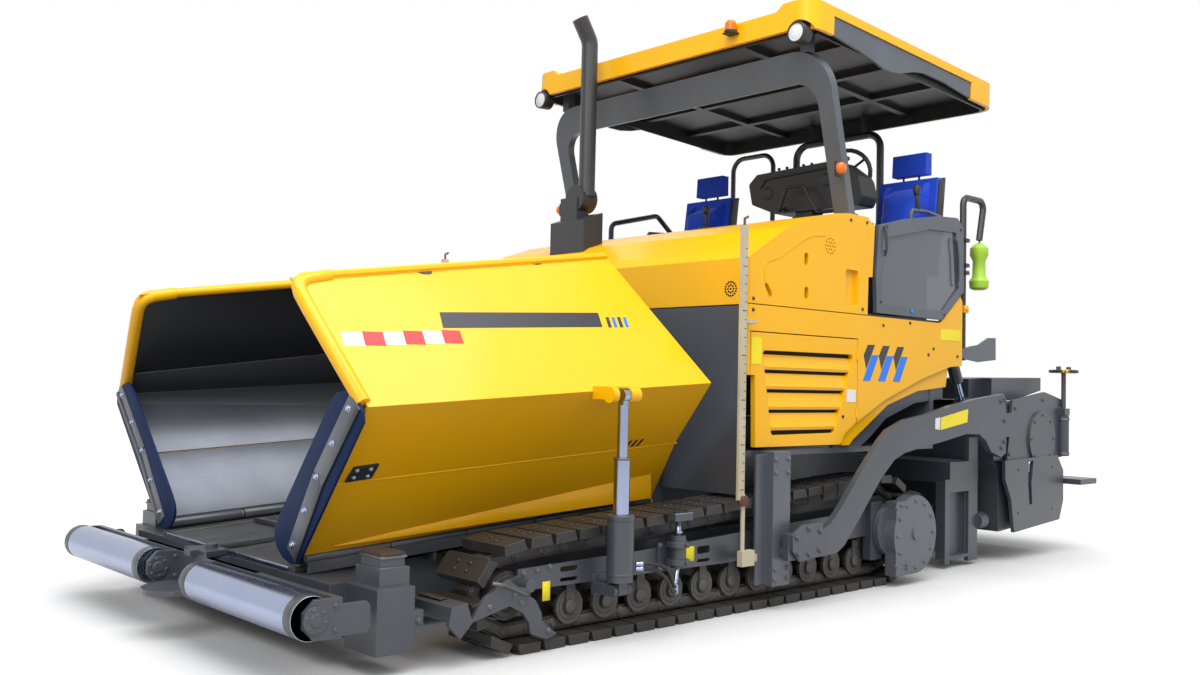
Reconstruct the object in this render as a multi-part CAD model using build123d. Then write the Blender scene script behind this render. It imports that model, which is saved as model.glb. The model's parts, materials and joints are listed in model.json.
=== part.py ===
from build123d import *
import os
from math import atan2, cos, degrees, hypot, pi, radians, sin, sqrt, tan

# Tracked asphalt paver, millimetres.
# +X is the way the machine drives, +Y its left side, +Z up; the tracks stand on Z = 0.
# The origin is on the ground, midway along the machine's length and on its centre line.

os.makedirs("parts", exist_ok=True)

# ---- driving dimensions --------------------------------------------------------------------------
TRACK_IN, TRACK_OUT = 975, 1280        # inner and outer ends of the track shoes, from the centre line
IDLER_X, SPROCKET_X = 2215, -640       # axles of the track
IDLER_R, SPROCKET_R = 245, 330         # radius to the outside of the shoes
SHOES = 49                             # shoes on one track
PIN_DEPTH = 85                         # from the track pins out to the face of the shoes
CHAIN_HALF = 32                        # half the height of the chain links
CHAIN_Y = (1085, 1170)                 # the chain's two sides
FRAME_IN, FRAME_OUT = 1030, 1235       # track frame girder
CHASSIS_HALF = 660                     # outside of the chassis side plates

BODY_OUT = 1260                        # outside of the yellow body panels
BODY_REAR = -1543
DECK_Z = 1625                          # top of the operator's deck

ROLLER_X, ROLLER_Z, ROLLER_R = 3170, 272, 85

WING_HINGE = (840, 720, 532)           # rear end of the left wing's hinge line
WING_TILT = 3.6                        # the hinge line falls this much towards the front, degrees

EYE = (1686, 1360, 1120)               # where the wing cylinder's rod meets the wing
FOOT = (1686, 1360, 235)               # where its barrel is pinned to the track frame
FORK_REAR, FORK_FRONT = 21, 57         # the wing's fork clears the rod's eye as it swings back

ARM_IN, ARM_OUT = 1370, 1410           # tow arms
TOW = (460, 0, 300)                    # axis of both tow points

AUGER_X, AUGER_Z, AUGER_R = -1690, 300, 175

BOLT_R = 9                             # bolt-on end sections of the screed: hole radius
BOLT_HOLES = ((-2240, 330), (-2760, 330), (-2240, 630), (-2760, 630))

# ---- shapes --------------------------------------------------------------------------------------
def block(x0, x1, y0, y1, z0, z1):
    """A box between two corners."""
    return Pos((x0 + x1) / 2, (y0 + y1) / 2, (z0 + z1) / 2) * Box(x1 - x0, y1 - y0, z1 - z0)


def outline(points, radius=0):
    """A face inside straight edges, its corners rounded if a radius is given."""
    if radius:
        return make_face(FilletPolyline(*points, radius=radius, close=True))
    return make_face(Polyline(*points, close=True))


def plate_y(points, y0, y1, radius=0):
    """An outline in X and Z, from y0 to y1."""
    plane = Plane(origin=(0, y1, 0), x_dir=(1, 0, 0), z_dir=(0, -1, 0))
    return extrude(plane * outline(points, radius), y1 - y0)


def plate_x(points, x0, x1, radius=0):
    """An outline in Y and Z, from x0 to x1."""
    plane = Plane(origin=(x0, 0, 0), x_dir=(0, 1, 0), z_dir=(1, 0, 0))
    return extrude(plane * outline(points, radius), x1 - x0)


def plate_z(points, z0, z1, radius=0):
    """An outline in X and Y, from z0 to z1."""
    return extrude(Pos(0, 0, z0) * outline(points, radius), z1 - z0)


def rod(start, end, radius, sides=0):
    """A bar between two points, round unless it is given a number of flats."""
    run = Vector(*end) - Vector(*start)
    plane = Plane(origin=start, z_dir=run)
    if sides:
        return extrude(plane * RegularPolygon(radius, sides), run.length)
    low = (Align.CENTER, Align.CENTER, Align.MIN)
    return plane * Cylinder(radius, run.length, align=low)


def pipe(points, radius, bend, sides=8):
    """A tube bent along straight runs."""
    path = FilletPolyline(*points, radius=bend)
    start = Plane(origin=path @ 0, z_dir=path % 0)
    return sweep(start * RegularPolygon(radius, sides), path=path)


def right(shape):
    """The same piece on the right-hand side."""
    return mirror(shape, about=Plane.XZ)


def pair(shape):
    """A piece and its mirror image, in one node."""
    return shape + right(shape)


PARTS = {}

# ---- tracks: one loop a side, its shoes in its outline --------------------------------------
IDLER_PIN = IDLER_R - PIN_DEPTH
SPROCKET_PIN = SPROCKET_R - PIN_DEPTH
AXLES = IDLER_X - SPROCKET_X
TOP_FALL = atan2(SPROCKET_PIN - IDLER_PIN, AXLES)


def pin_points():
    """The track pins, one after another round the idler and the sprocket."""
    run = hypot(AXLES, SPROCKET_PIN - IDLER_PIN)
    slope = 2 * TOP_FALL
    front_arc = IDLER_PIN * (pi - slope)
    rear_arc = SPROCKET_PIN * (pi + slope)
    pitch = (AXLES + run + front_arc + rear_arc) / SHOES
    points = []
    for i in range(SHOES):
        s = i * pitch
        if s < AXLES:
            points.append((SPROCKET_X + s, PIN_DEPTH))
            continue
        s -= AXLES
        if s < front_arc:
            turn = -pi / 2 + s / IDLER_PIN
            points.append((IDLER_X + IDLER_PIN * cos(turn), IDLER_R + IDLER_PIN * sin(turn)))
            continue
        s -= front_arc
        if s < run:
            turn = pi / 2 - slope
            x = IDLER_X + IDLER_PIN * cos(turn) - s * cos(slope)
            z = IDLER_R + IDLER_PIN * sin(turn) + s * sin(slope)
            points.append((x, z))
            continue
        s -= run
        turn = pi / 2 - slope + s / SPROCKET_PIN
        points.append((SPROCKET_X + SPROCKET_PIN * cos(turn), SPROCKET_R + SPROCKET_PIN * sin(turn)))
    return points


def offset_loop(points, distance):
    """The corners of a closed loop moved outwards, each along the middle of its turn."""
    moved = []
    for i, (x, z) in enumerate(points):
        before = points[i - 1]
        after = points[(i + 1) % len(points)]
        ax, az = x - before[0], z - before[1]
        bx, bz = after[0] - x, after[1] - z
        along_x = ax / hypot(ax, az) + bx / hypot(bx, bz)
        along_z = az / hypot(ax, az) + bz / hypot(bx, bz)
        size = hypot(along_x, along_z)
        reach = distance / (size / 2)
        moved.append((x + along_z / size * reach, z - along_x / size * reach))
    return moved


def track():
    pins = pin_points()
    outer = plate_y(offset_loop(pins, CHAIN_HALF), *CHAIN_Y)
    inner = plate_y(offset_loop(pins, -CHAIN_HALF), *CHAIN_Y)
    loop = outer - inner
    shoes = []
    for i, (x, z) in enumerate(pins):
        nx, nz = pins[(i + 1) % SHOES]
        length = hypot(nx - x, nz - z)
        ux, uz = (nx - x) / length, (nz - z) / length
        corners = []
        for along, out in ((8, 40), (12, PIN_DEPTH), (length - 22, PIN_DEPTH), (length - 8, 40)):
            corners.append((x + ux * along + uz * out, z + uz * along - ux * out))
        shoes.append(plate_y(corners, TRACK_IN, TRACK_OUT))
    return loop.fuse(*shoes)


PARTS["tracks"] = pair(track())

# ---- what turns inside the tracks ----------------------------------------------------------------
def wheel_radius(pin_radius):
    """The largest wheel that clears the straight links bent round it."""
    return sqrt(pin_radius ** 2 - 72 ** 2) - CHAIN_HALF - 5


idler = rod((IDLER_X, 1050, IDLER_R), (IDLER_X, 1205, IDLER_R), wheel_radius(IDLER_PIN), 32)
idler += rod((IDLER_X, 1048, IDLER_R), (IDLER_X, 1214, IDLER_R), 60, 16)
PARTS["idlers"] = pair(idler)

sprocket_r = wheel_radius(SPROCKET_PIN)
sprocket = rod((SPROCKET_X, 1060, SPROCKET_R), (SPROCKET_X, 1195, SPROCKET_R), sprocket_r, 32)
PARTS["sprockets"] = pair(sprocket)

ROLLERS, ROLLER_PITCH, FIRST_ROLLER = 11, 225.5, 1842
RAIL_Z = PIN_DEPTH + CHAIN_HALF
TREAD_R, FLANGE_R = 35, 82
rollers = Part()
for n in range(ROLLERS):
    x = FIRST_ROLLER - n * ROLLER_PITCH
    z = RAIL_Z + TREAD_R + 3
    rollers += rod((x, 1060, z), (x, 1195, z), TREAD_R, 10)
    for y in (1058, 1176):
        rollers += rod((x, y, z), (x, y + 20, z), FLANGE_R, 14)
    for y in (1048, 1195):
        rollers += block(x - 26, x + 26, y, y + 10, z - 24, 276)
PARTS["track_rollers"] = pair(rollers)

# ---- track frames --------------------------------------------------------------------------------
girder_side = [(2181, 358), (1418, 375), (832, 400), (-400, 450), (-480, 450), (-480, 300), (501, 265),
               (828, 258), (1273, 262), (2176, 262)]
girder = plate_y(girder_side, FRAME_OUT - 16, FRAME_OUT) + plate_y(girder_side, FRAME_IN, FRAME_IN + 16)
girder += block(-330, 2080, FRAME_IN, FRAME_OUT, 300, 318)
for x in (1750, 250):
    girder += rod((x, CHASSIS_HALF, 340), (x, FRAME_IN + 8, 340), 55, 16)
for x0, x1, z0, z1, corner in ((1831, 1937, 322, 346, 11), (1831, 1937, 278, 296, 8), (925, 1022, 322, 360, 12),
                               (925, 1022, 280, 296, 7)):
    girder -= plate_y([(x0, z0), (x1, z0), (x1, z1), (x0, z1)], FRAME_OUT - 30, FRAME_OUT + 10, corner)
# rear end of the girder, up to the final drive
girder += block(-585, -470, FRAME_OUT - 16, FRAME_OUT + 40, 160, 500)
girder -= rod((SPROCKET_X, 1190, SPROCKET_R), (SPROCKET_X, 1310, SPROCKET_R), 153)
# front yoke that carries the idler and hooks down over the chain
yoke_side = [(2480, 178), (2278, 223), (2206, 185), (2172, 142), (2159, 90), (2067, 55), (2011, 75),
             (2057, 105), (2099, 140), (2100, 172), (2136, 232), (2237, 300), (2287, 335), (2406, 275)]
YOKE_IN, YOKE_OUT = TRACK_OUT + 6, TRACK_OUT + 26
girder += plate_y(yoke_side, YOKE_IN, YOKE_OUT)
girder += rod((IDLER_X, FRAME_OUT - 18, IDLER_R), (IDLER_X, YOKE_OUT, IDLER_R), 50, 20)
girder += rod((2150, FRAME_OUT - 10, 290), (2150, YOKE_IN + 4, 290), 28, 12)
girder += plate_y([(2110, 262), (2110, 350), (2300, 300), (2300, 240)], FRAME_OUT - 16, FRAME_OUT)
# deflector in front of the shoes
girder += plate_y([(2470, 180), (2500, 262), (2575, 250), (2590, 178), (2530, 120)], YOKE_IN, YOKE_OUT)
girder += plate_y([(2488, 205), (2500, 262), (2575, 250), (2585, 190)], TRACK_IN + 20, YOKE_IN)
# lugs and pin of the wing cylinder, and the foot of the guide column
for x0, x1 in ((FOOT[0] - 52, FOOT[0] - 33), (FOOT[0] + 33, FOOT[0] + 52)):
    girder += block(x0, x1, FRAME_OUT, FOOT[1], FOOT[2] - 26, FOOT[2] + 24)
    girder += rod((x0, FOOT[1], FOOT[2]), (x1, FOOT[1], FOOT[2]), 26, 20)
girder += rod((FOOT[0] - 52, FOOT[1], FOOT[2]), (FOOT[0] + 52, FOOT[1], FOOT[2]), 15)
girder += block(FOOT[0] - 52, FOOT[0] + 52, FRAME_OUT - 10, FRAME_OUT + 14, FOOT[2] - 35, FOOT[2] + 60)
girder += block(400, 556, FRAME_OUT, 1292, 270, 400)
# socket for a levelling arm, clamped by two rings to a plate on the girder
SOCKET = (1235, 1300)
girder += block(1122, 1322, FRAME_OUT, FRAME_OUT + 16, 270, 402)
girder += rod((*SOCKET, 285), (*SOCKET, 440), 38, 16)
for z in (300, 385):
    girder += rod((*SOCKET, z), (*SOCKET, z + 26), 58, 20)
girder += rod((*SOCKET, 430), (*SOCKET, 520), 14, 10)
girder += block(SOCKET[0] - 62, SOCKET[0] + 62, TRACK_OUT + 5, TRACK_OUT + 58, 514, 548)
PARTS["track_frames"] = pair(girder)

# ---- final drives --------------------------------------------------------------------------------
DRIVE = (-800, 300, 235)               # place and radius of the round cover
drive = rod((DRIVE[0], 1300, DRIVE[1]), (DRIVE[0], 1375, DRIVE[1]), DRIVE[2], 48)
drive += block(-800, -585, 1300, 1375, 65, 505)
drive += rod((SPROCKET_X, 1196, SPROCKET_R), (SPROCKET_X, 1310, SPROCKET_R), 150, 32)
drive += rod((DRIVE[0], 1374, DRIVE[1]), (DRIVE[0], 1384, DRIVE[1]), 34, 16)
PARTS["final_drives"] = pair(drive)

# ---- chassis -------------------------------------------------------------------------------------
side = [(2600, 170), (2600, 330), (840, 462), (760, 500), (760, 980), (-1240, 980), (-1240, 300), (-900, 170)]
chassis = pair(plate_y(side, CHASSIS_HALF - 40, CHASSIS_HALF))
chassis += block(-900, 2600, -CHASSIS_HALF, CHASSIS_HALF, 170, 195)
chassis += block(-1240, 760, -CHASSIS_HALF, CHASSIS_HALF, 955, 980)
PARTS["main_frame"] = chassis

# rail under each wing's hinge, held by gussets
RAIL_FRONT, RAIL_REAR = 2920, 900


def hinge_z(x):
    """Height of the wing's hinge line."""
    return WING_HINGE[2] - (x - WING_HINGE[0]) * tan(radians(WING_TILT))


rail_side = []
for x, drop in ((RAIL_REAR, 54), (RAIL_FRONT, 54), (RAIL_FRONT, 8), (RAIL_REAR, 8)):
    rail_side.append((x, hinge_z(x) - drop))
hinge_rail = plate_y(rail_side, 746, 758)
for n in range(5):
    x = 950 + n * 330
    hinge_rail += block(x, x + 12, CHASSIS_HALF, 750, hinge_z(x) - 100, hinge_z(x) - 60)
    hinge_rail += block(x, x + 12, 704, 750, hinge_z(x) - 62, hinge_z(x) - 50)
PARTS["hinge_rails"] = pair(hinge_rail)

# ---- hopper floor and its slat conveyors --------------------------------------------------------
floor = plate_y([(2950, 345), (2950, 368), (840, 500), (-1240, 500), (-1240, 478), (840, 478)], -615, 615)
floor += plate_y([(2950, 345), (2950, 368), (840, 500), (840, 478)], -692, 692)
PARTS["hopper_floor"] = floor

conveyor = Part()
for lane in (60, 330):
    for n in range(14):
        x = 2500 - n * 270
        z = 502 + max(0, x - 840) * (368 - 500) / (2950 - 840)
        conveyor += block(x - 20, x + 20, lane, lane + 240, z + 1, z + 22)
    conveyor += block(-1200, 840, lane + 10, lane + 30, 501, 516)
    conveyor += block(-1200, 840, lane + 210, lane + 230, 501, 516)
PARTS["conveyors"] = pair(conveyor)

# ---- wall behind the hopper ----------------------------------------------------------------------
wall = block(640, 700, -1215, 1215, 600, 1600)
wall -= block(600, 800, -CHASSIS_HALF, CHASSIS_HALF, 500, 985)
PARTS["bulkhead"] = wall

# ---- front beam and the swinging push beam -------------------------------------------------------
beam = block(2640, 2960, -1000, 1000, 196, 344)
beam += pair(block(2710, 2885, 1000, 1238, 85, 344))
beam += pair(block(2667, 2711, 1180, 1238, 157, 246))
beam += pair(block(2720, 2860, 1030, 1210, 344, 420))
beam += pair(block(2735, 2845, 1045, 1195, 420, 478))
beam += rod((3005, 0, 300), (3005, 0, 392), 30)
beam += block(2960, 3050, -90, 90, 230, 340)
PARTS["front_beam"] = beam

push = block(3056, 3082, -1270, 1270, 188, 345)
push += plate_z([(3082, -120), (3082, 120), (2965, 80), (2965, -80)], 345, 372)
push -= rod((3005, 0, 300), (3005, 0, 400), 30.05)
push += block(3080, 3120, -34, 34, 345, 372)
push += rod((3165, 0, 190), (3165, 0, 214), 150, 28)
push += block(3056, 3165, -150, 150, 190, 214)
for y0, y1 in ((205, 232), (1248, 1272)):
    ear = plate_y([(3060, 190), (3060, 345), (3170, 345), (3215, 300), (3215, 240), (3170, 195)], y0, y1)
    push += pair(ear)
push += pair(plate_y([(3060, 199), (3060, 318), (2950, 318), (2935, 300), (2935, 215), (2950, 199)], 1248, 1272))
PARTS["push_beam"] = push

roller = rod((ROLLER_X, 240, ROLLER_Z), (ROLLER_X, 1240, ROLLER_Z), ROLLER_R)
PARTS["push_roller_left"] = roller
PARTS["push_roller_right"] = right(roller)

# ---- hopper wings -----------------------------------------------------------------------------------
# Section of the left wing across its hinge line: (out, up) from the hinge.
SEAM = (240, 335)
KNEE = (540, 660)
LEAN = -0.843                     # the upper panel leans in by this much for each unit up
WING_SHEET = 14


def thick_line(points, depth):
    """The closed outline of a bent sheet: the line given, and the same line one depth to its left."""
    back = []
    for i, (a, b) in enumerate(points):
        before = points[max(i - 1, 0)]
        after = points[min(i + 1, len(points) - 1)]
        first = Vector(a - before[0], b - before[1]) if i else Vector(after[0] - a, after[1] - b)
        last = Vector(after[0] - a, after[1] - b) if i < len(points) - 1 else first
        middle = first.normalized() + last.normalized()
        reach = 2 * depth / middle.length
        unit = middle.normalized()
        back.append((a - unit.Y * reach, b + unit.X * reach))
    return list(points) + back[::-1]


PEAK = (KNEE[0] + LEAN * 680, KNEE[1] + 680)
FRONT_SHARE = 0.77                # the front end of the upper panel is this much of its rear height
LIP_FRONT = (KNEE[0] + LEAN * 680 * FRONT_SHARE, KNEE[1] + 680 * FRONT_SHARE)


def wing():
    """Folded sheet cut to its outline, with a rolled lip and a hinge tube."""
    sheet = plate_x(thick_line([(0, 0), SEAM, KNEE, PEAK], WING_SHEET), 0, 2200)
    cut = [(0, -30), (84, KNEE[1]), (262, PEAK[1]), (2165, LIP_FRONT[1]), (2087, KNEE[1]), (2099, -30)]
    shape = sheet & plate_y(cut, -200, 700)
    shape += rod((4, 0, 0), (2095, 0, 0), 22)
    low = 0.05
    start = (2087 + 78 * low, KNEE[0] + (LIP_FRONT[0] - KNEE[0]) * low, KNEE[1] + (LIP_FRONT[1] - KNEE[1]) * low)
    shape += pipe([start, (2165, *LIP_FRONT), (266, *PEAK)], 20, 70)
    placed = Pos(*WING_HINGE) * Rot(0, WING_TILT, 0) * shape
    # bracket on the knee that the cylinder's rod is pinned to
    lug_x, lug_y, lug_z = EYE
    for x0, x1 in ((lug_x - 85, lug_x - FORK_REAR), (lug_x + FORK_FRONT, lug_x + 92)):
        placed += block(x0, x1, 1250, lug_y, lug_z - 22, lug_z + 38)
        placed += rod((x0, lug_y, lug_z), (x1, lug_y, lug_z), 38)
    return placed


PARTS["hopper_wing_left"] = wing()
PARTS["hopper_wing_right"] = right(wing())


def flap():
    """Rubber flap hung in front of a wing's front edge."""
    outer = [(0, 0), SEAM, KNEE]
    inner = [(KNEE[0] - 150, KNEE[1] + 60), (SEAM[0] - 130, SEAM[1] + 90), (-90, 30)]
    shape = plate_x(outer + inner, 2112, 2124)
    return Pos(*WING_HINGE) * Rot(0, WING_TILT, 0) * shape


PARTS["wing_flap_left"] = flap()
PARTS["wing_flap_right"] = right(flap())

# ---- wing cylinders: barrel, sleeve and rod, drawn out with the wing up ------------------------------
# Heights are above the pin of the barrel.
fx, fy, fz = FOOT
BARREL_FLOOR, BARREL_TOP = 60, 340
SLEEVE_LOW, SLEEVE_TOP = 298, 600
ROD_LOW = 532


def ring(x, y, z0, z1, outer, bore):
    return rod((x, y, z0), (x, y, z1), outer) - rod((x, y, z0), (x, y, z1), bore)


barrel = rod((fx, fy, fz + 38), (fx, fy, fz + BARREL_FLOOR), 62)
barrel += ring(fx, fy, fz + BARREL_FLOOR, fz + BARREL_TOP, 62, 37.06)
barrel += block(fx - 28, fx + 28, fy - 26, fy + 26, fz, fz + 40)
barrel += rod((fx - 28, fy, fz), (fx + 28, fy, fz), 28)
barrel -= rod((fx - 32, fy, fz), (fx + 32, fy, fz), 15.06)
PARTS["wing_barrel_left"] = barrel
PARTS["wing_barrel_right"] = right(barrel)
sleeve = ring(fx, fy, fz + SLEEVE_LOW, fz + SLEEVE_TOP, 37, 25.06)
PARTS["wing_sleeve_left"] = sleeve
PARTS["wing_sleeve_right"] = right(sleeve)
wing_rod = rod((fx, fy, fz + ROD_LOW), (fx, fy, EYE[2] - 48), 25)
wing_rod += block(fx - 16, fx + 16, fy - 18, fy + 18, EYE[2] - 60, EYE[2])
wing_rod += rod((fx - 16, fy, EYE[2]), (fx + 16, fy, EYE[2]), 32)
PARTS["wing_rod_left"] = wing_rod
PARTS["wing_rod_right"] = right(wing_rod)

# ---- engine, under the hood ----------------------------------------------------------------------------
PARTS["engine"] = block(-420, 560, -420, 420, 985, 1720)

# ---- hood ----------------------------------------------------------------------------------------
hood_top = [(672, 1610), (672, 1858), (592, 1912), (347, 2057), (119, 2134), (-102, 2183), (-222, 2198),
            (-460, 2198)]
hood_under = [(-460, 2178), (-222, 2178), (-102, 2163), (112, 2114), (337, 2038), (582, 1892), (652, 1845),
              (652, 1610)]
hood = plate_y(hood_top + hood_under, -BODY_OUT + 32, BODY_OUT - 32)
PARTS["hood"] = hood

# ---- yellow side panels --------------------------------------------------------------------------
upper = [(674, 1614), (674, 1861), (592, 1912), (347, 2057), (119, 2134), (-102, 2183), (-222, 2198),
         (-423, 2199), (-499, 2148), (-479, 1843), (-437, 1840), (-431, 1614)]
side_panel = plate_y(upper, BODY_OUT - 30, BODY_OUT)
# hand pocket, two oval holes, a curved slot and two round vents
side_panel -= plate_y([(-330, 1655), (-205, 1655), (-205, 1868), (-330, 1868)], BODY_OUT - 24, BODY_OUT + 10, 14)
for x, z in ((179, 1891), (174, 1700)):
    oval = [(x - 18, z - 36), (x + 18, z - 36), (x + 18, z + 36), (x - 18, z + 36)]
    side_panel -= plate_y(oval, BODY_OUT - 40, BODY_OUT + 10, 17)
curved_slot = [(548, 1722), (528, 1734), (488, 1690), (478, 1664), (500, 1654), (516, 1672)]
side_panel -= plate_y(curved_slot, BODY_OUT - 40, BODY_OUT + 10, 8)
for n in range(19):
    circle, step = (0, 0) if n == 0 else (22, n) if n < 7 else (44, n / 2)
    turn = step * pi / 3
    x, z = -47 + circle * cos(turn), 1986 + circle * sin(turn)
    side_panel -= rod((x, BODY_OUT - 12, z), (x, BODY_OUT + 10, z), 7, 6)
PARTS["upper_panels"] = pair(side_panel)

DOOR = (-330, 655, 850, 1462)     # rear, front, bottom and top of the engine door's opening
DOOR_PIN = (-326, 1264)           # hinge pin of the left door
NOTCH = (617, 1233)               # the lower front corner is cut back to here
lower_edge = [(-1364, 1197), (-1024, 1167), (-683, 1078), (-470, 958), (-316, 872), (-280, 842)]
crease = [(-1389, 1328), (-1023, 1236), (-628, 1108), (-365, 989), (-204, 892)]
outside = [(680, NOTCH[1]), (680, 1609), (-1266, 1609), (-1517, 1800), (-1543, 1763), (-1543, 1339)]
body = plate_y([(NOTCH[0], 842), (NOTCH[0], NOTCH[1])] + outside + crease + [(-204, 842)], BODY_OUT - 30, BODY_OUT)
body -= block(DOOR[0] - 6, DOOR[1] + 6, 1200, 1300, DOOR[2] - 40, DOOR[3] + 6)
body += plate_y(crease[::-1] + lower_edge + [(-204, 842)], BODY_OUT - 30, BODY_OUT - 16)
PARTS["body_panels"] = pair(body)

SLOTS = (928, 1040, 1150, 1255, 1356)


def door():
    """Side door with its broad louvres, each with its lower edge pressed outwards."""
    x0, x1, z0, z1 = DOOR
    face = [(x0, 978), (-200, 899), (-185, 865), (-170, z0), (NOTCH[0] - 12, z0), NOTCH, (x1, NOTCH[1]), (x1, z1), (x0, z1)]
    shape = plate_y(face, BODY_OUT - 30, BODY_OUT)
    grille = [(557, 1368), (-295, 1372), (-110, 917), (472, 912)]
    shape -= plate_y(grille, 1200, 1300, 22)
    slats = Part()
    for low_slot, high_slot in zip(SLOTS, SLOTS[1:]):
        foot, top = low_slot + 10, high_slot - 8
        section = [(1252, foot), (1257, foot + 16), (1238, top), (1232, top), (1248, foot + 14), (1244, foot)]
        slats += plate_x(section, x0, x1)
    shape += slats & plate_y([(565, 1376), (-303, 1380), (-116, 909), (478, 904)], 1200, 1300)
    for z in (1000, z1 - 120):
        shape += rod((*DOOR_PIN, z), (*DOOR_PIN, z + 60), 7)
    return shape


PARTS["engine_door_left"] = door()
PARTS["engine_door_right"] = right(door())

# ---- inner body: walls that carry the panels and the deck ----------------------------------------
inner = block(BODY_REAR + 3, 638, -1228, 1228, 1570, DECK_Z - 20)
inner -= block(-440, 620, -1100, 1100, 1500, 1700)
inner += pair(block(-1240, 640, CHASSIS_HALF, 1228, 800, 830))
inner += block(BODY_REAR + 3, BODY_REAR + 33, -1228, 1228, 1340, 1570)
inner += pair(block(-1240, -1200, CHASSIS_HALF, 1228, 830, 1570))
inner += pair(block(-1510, -1244, CHASSIS_HALF - 100, CHASSIS_HALF, 900, 1570))
# arch under the body's curved edge
arch = [(-150, 842), (-316, 872), (-470, 958), (-683, 1078), (-1024, 1167), (-1364, 1197)]
arch_low = [(-1364, 1120), (-1024, 1090), (-700, 995), (-520, 880), (-370, 800), (-150, 800)]
inner += pair(plate_y(arch + arch_low, 1196, 1222))
PARTS["inner_body"] = inner

deck = block(BODY_REAR - 60, -470, -1228, 1228, DECK_Z - 20, DECK_Z)
deck += block(-486, -470, -1200, 1200, DECK_Z, 2176)
PARTS["deck"] = deck

# ---- grey window panels beside the driver --------------------------------------------------------------------
pane = [(-537, 2163), (-814, 2232), (-1229, 2300), (-1457, 2314), (-1536, 2257), (-1543, 1830), (-1266, 1630),
        (-520, 1632), (-505, 1846)]
glass = [(-570, 2087), (-1108, 2200), (-1440, 2215), (-1480, 1850), (-1290, 1690), (-570, 1680)]
frame = plate_y(pane, BODY_OUT - 20, BODY_OUT + 8)
frame -= plate_y(glass, 1200, 1300)
PARTS["window_panels"] = pair(frame)
PARTS["window_glass"] = pair(plate_y(glass, BODY_OUT - 12, BODY_OUT - 6))

# ---- driver's station ----------------------------------------------------------------------------
SEATS = ((-1290, 880), (-1040, -723))  # the right-hand seat is set further forward


def seat(x, y):
    """Cushion, backrest and headrest."""
    back_x = x - 120
    shape = block(x - 210, x + 260, y - 225, y + 225, 1960, 2070)
    shape += plate_y([(back_x - 90, 2071), (back_x, 2071), (back_x - 70, 2610), (back_x - 150, 2610)],
                     y - 222, y + 222)
    shape += plate_y([(back_x - 155, 2645), (back_x - 75, 2645), (back_x - 85, 2795), (back_x - 155, 2795)],
                     y - 130, y + 130)
    for side in (-60, 60):
        shape += rod((back_x - 112, y + side, 2600), (back_x - 112, y + side, 2650), 8, 8)
    return shape


seats = Part()
bases = Part()
for x, y in SEATS:
    seats += seat(x, y)
    bases += block(x - 160, x + 180, y - 170, y + 170, DECK_Z, 1960)
PARTS["seats"] = seats
PARTS["seat_bases"] = bases

console_face = [(-16, 2600), (55, 2663), (672, 2681), (790, 2652), (892, 2560), (924, 2426), (895, 2364), (220, 2370),
                (15, 2454)]
console = plate_x(console_face, -1040, -860, 25)
console -= plate_y([(-1060, 2500), (-1060, 2700), (-930, 2700)], -40, 950)
console += block(-1000, -880, 380, 520, DECK_Z, 2380)
console += pipe([(-865, 308, 2400), (-790, 308, 2366), (-780, 373, 2523), (-780, 514, 2528), (-780, 631, 2334),
                 (-780, 812, 2330), (-865, 830, 2400)], 12, 20)
PARTS["console"] = console

# ---- exhaust -------------------------------------------------------------------------------------
box_side = [(231, 2098), (347, 2058), (400, 2027), (400, 2240), (239, 2301), (231, 2301)]
silencer = plate_y(box_side, -692, -360)
silencer += block(231, 340, -664, -501, 2200, 2413)
silencer += rod((200, -538, 2405), (330, -538, 2405), 90, 28)
STACK = (262, -490)
silencer -= rod((*STACK, 2419), (*STACK, 2520), 56)
PARTS["exhaust_box"] = silencer
stack = pipe([(*STACK, 2420), (*STACK, 3470), (STACK[0] + 95, STACK[1], 3610)], 55, 110, 16)
stack -= rod((STACK[0] + 45, STACK[1], 3537), (STACK[0] + 101, STACK[1], 3618), 47, 16)
PARTS["exhaust_stack"] = stack

# ---- canopy --------------------------------------------------------------------------------------
# Worked out level, from the front edge of its top back to -X, then tipped back.
ROOF_EDGE = (120, 3410)                # X and Z of the top's front edge
ROOF_LENGTH, ROOF_HALF = 2162, 1230
ROOF_FALL = 2.5                        # degrees that the roof falls towards the rear
RIM = 55                               # depth of the rim along the sides
LAMP = (1138, -202)                    # Y and height of the lamps under the front edge
SKIRT_FRONT, SKIRT_REAR = -225, -1822


def rounded(x0, x1, half, z0, z1, corner):
    return plate_z([(x0, -half), (x0, half), (x1, half), (x1, -half)], z0, z1, corner)


def tipped(shape):
    return Pos(ROOF_EDGE[0], 0, ROOF_EDGE[1]) * Rot(0, -ROOF_FALL, 0) * shape


roof = rounded(0, -ROOF_LENGTH, ROOF_HALF, -170, 0, 120)
roof -= rounded(-25, 25 - ROOF_LENGTH, ROOF_HALF - 25, -200, -66, 96)
roof -= plate_x([(-1030, 5), (-975, -40), (975, -40), (1030, 5)], -ROOF_LENGTH - 10, 10)
roof -= pair(rod((-60, LAMP[0], LAMP[1]), (40, LAMP[0], LAMP[1]), 84, 24))
roof -= pair(block(SKIRT_REAR, SKIRT_FRONT, 1100, 1300, -220, -RIM))
PARTS["canopy"] = tipped(roof)

wave = [(-226, -56), (-226, -167), (-483, -187), (-620, -205), (-754, -227), (-870, -222), (-981, -201),
        (-1100, -165), (-1217, -142), (-1466, -139), (-1821, -160), (-1821, -56)]
PARTS["canopy_skirts"] = tipped(pair(plate_y(wave, ROOF_HALF - 24, ROOF_HALF - 8)))

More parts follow.
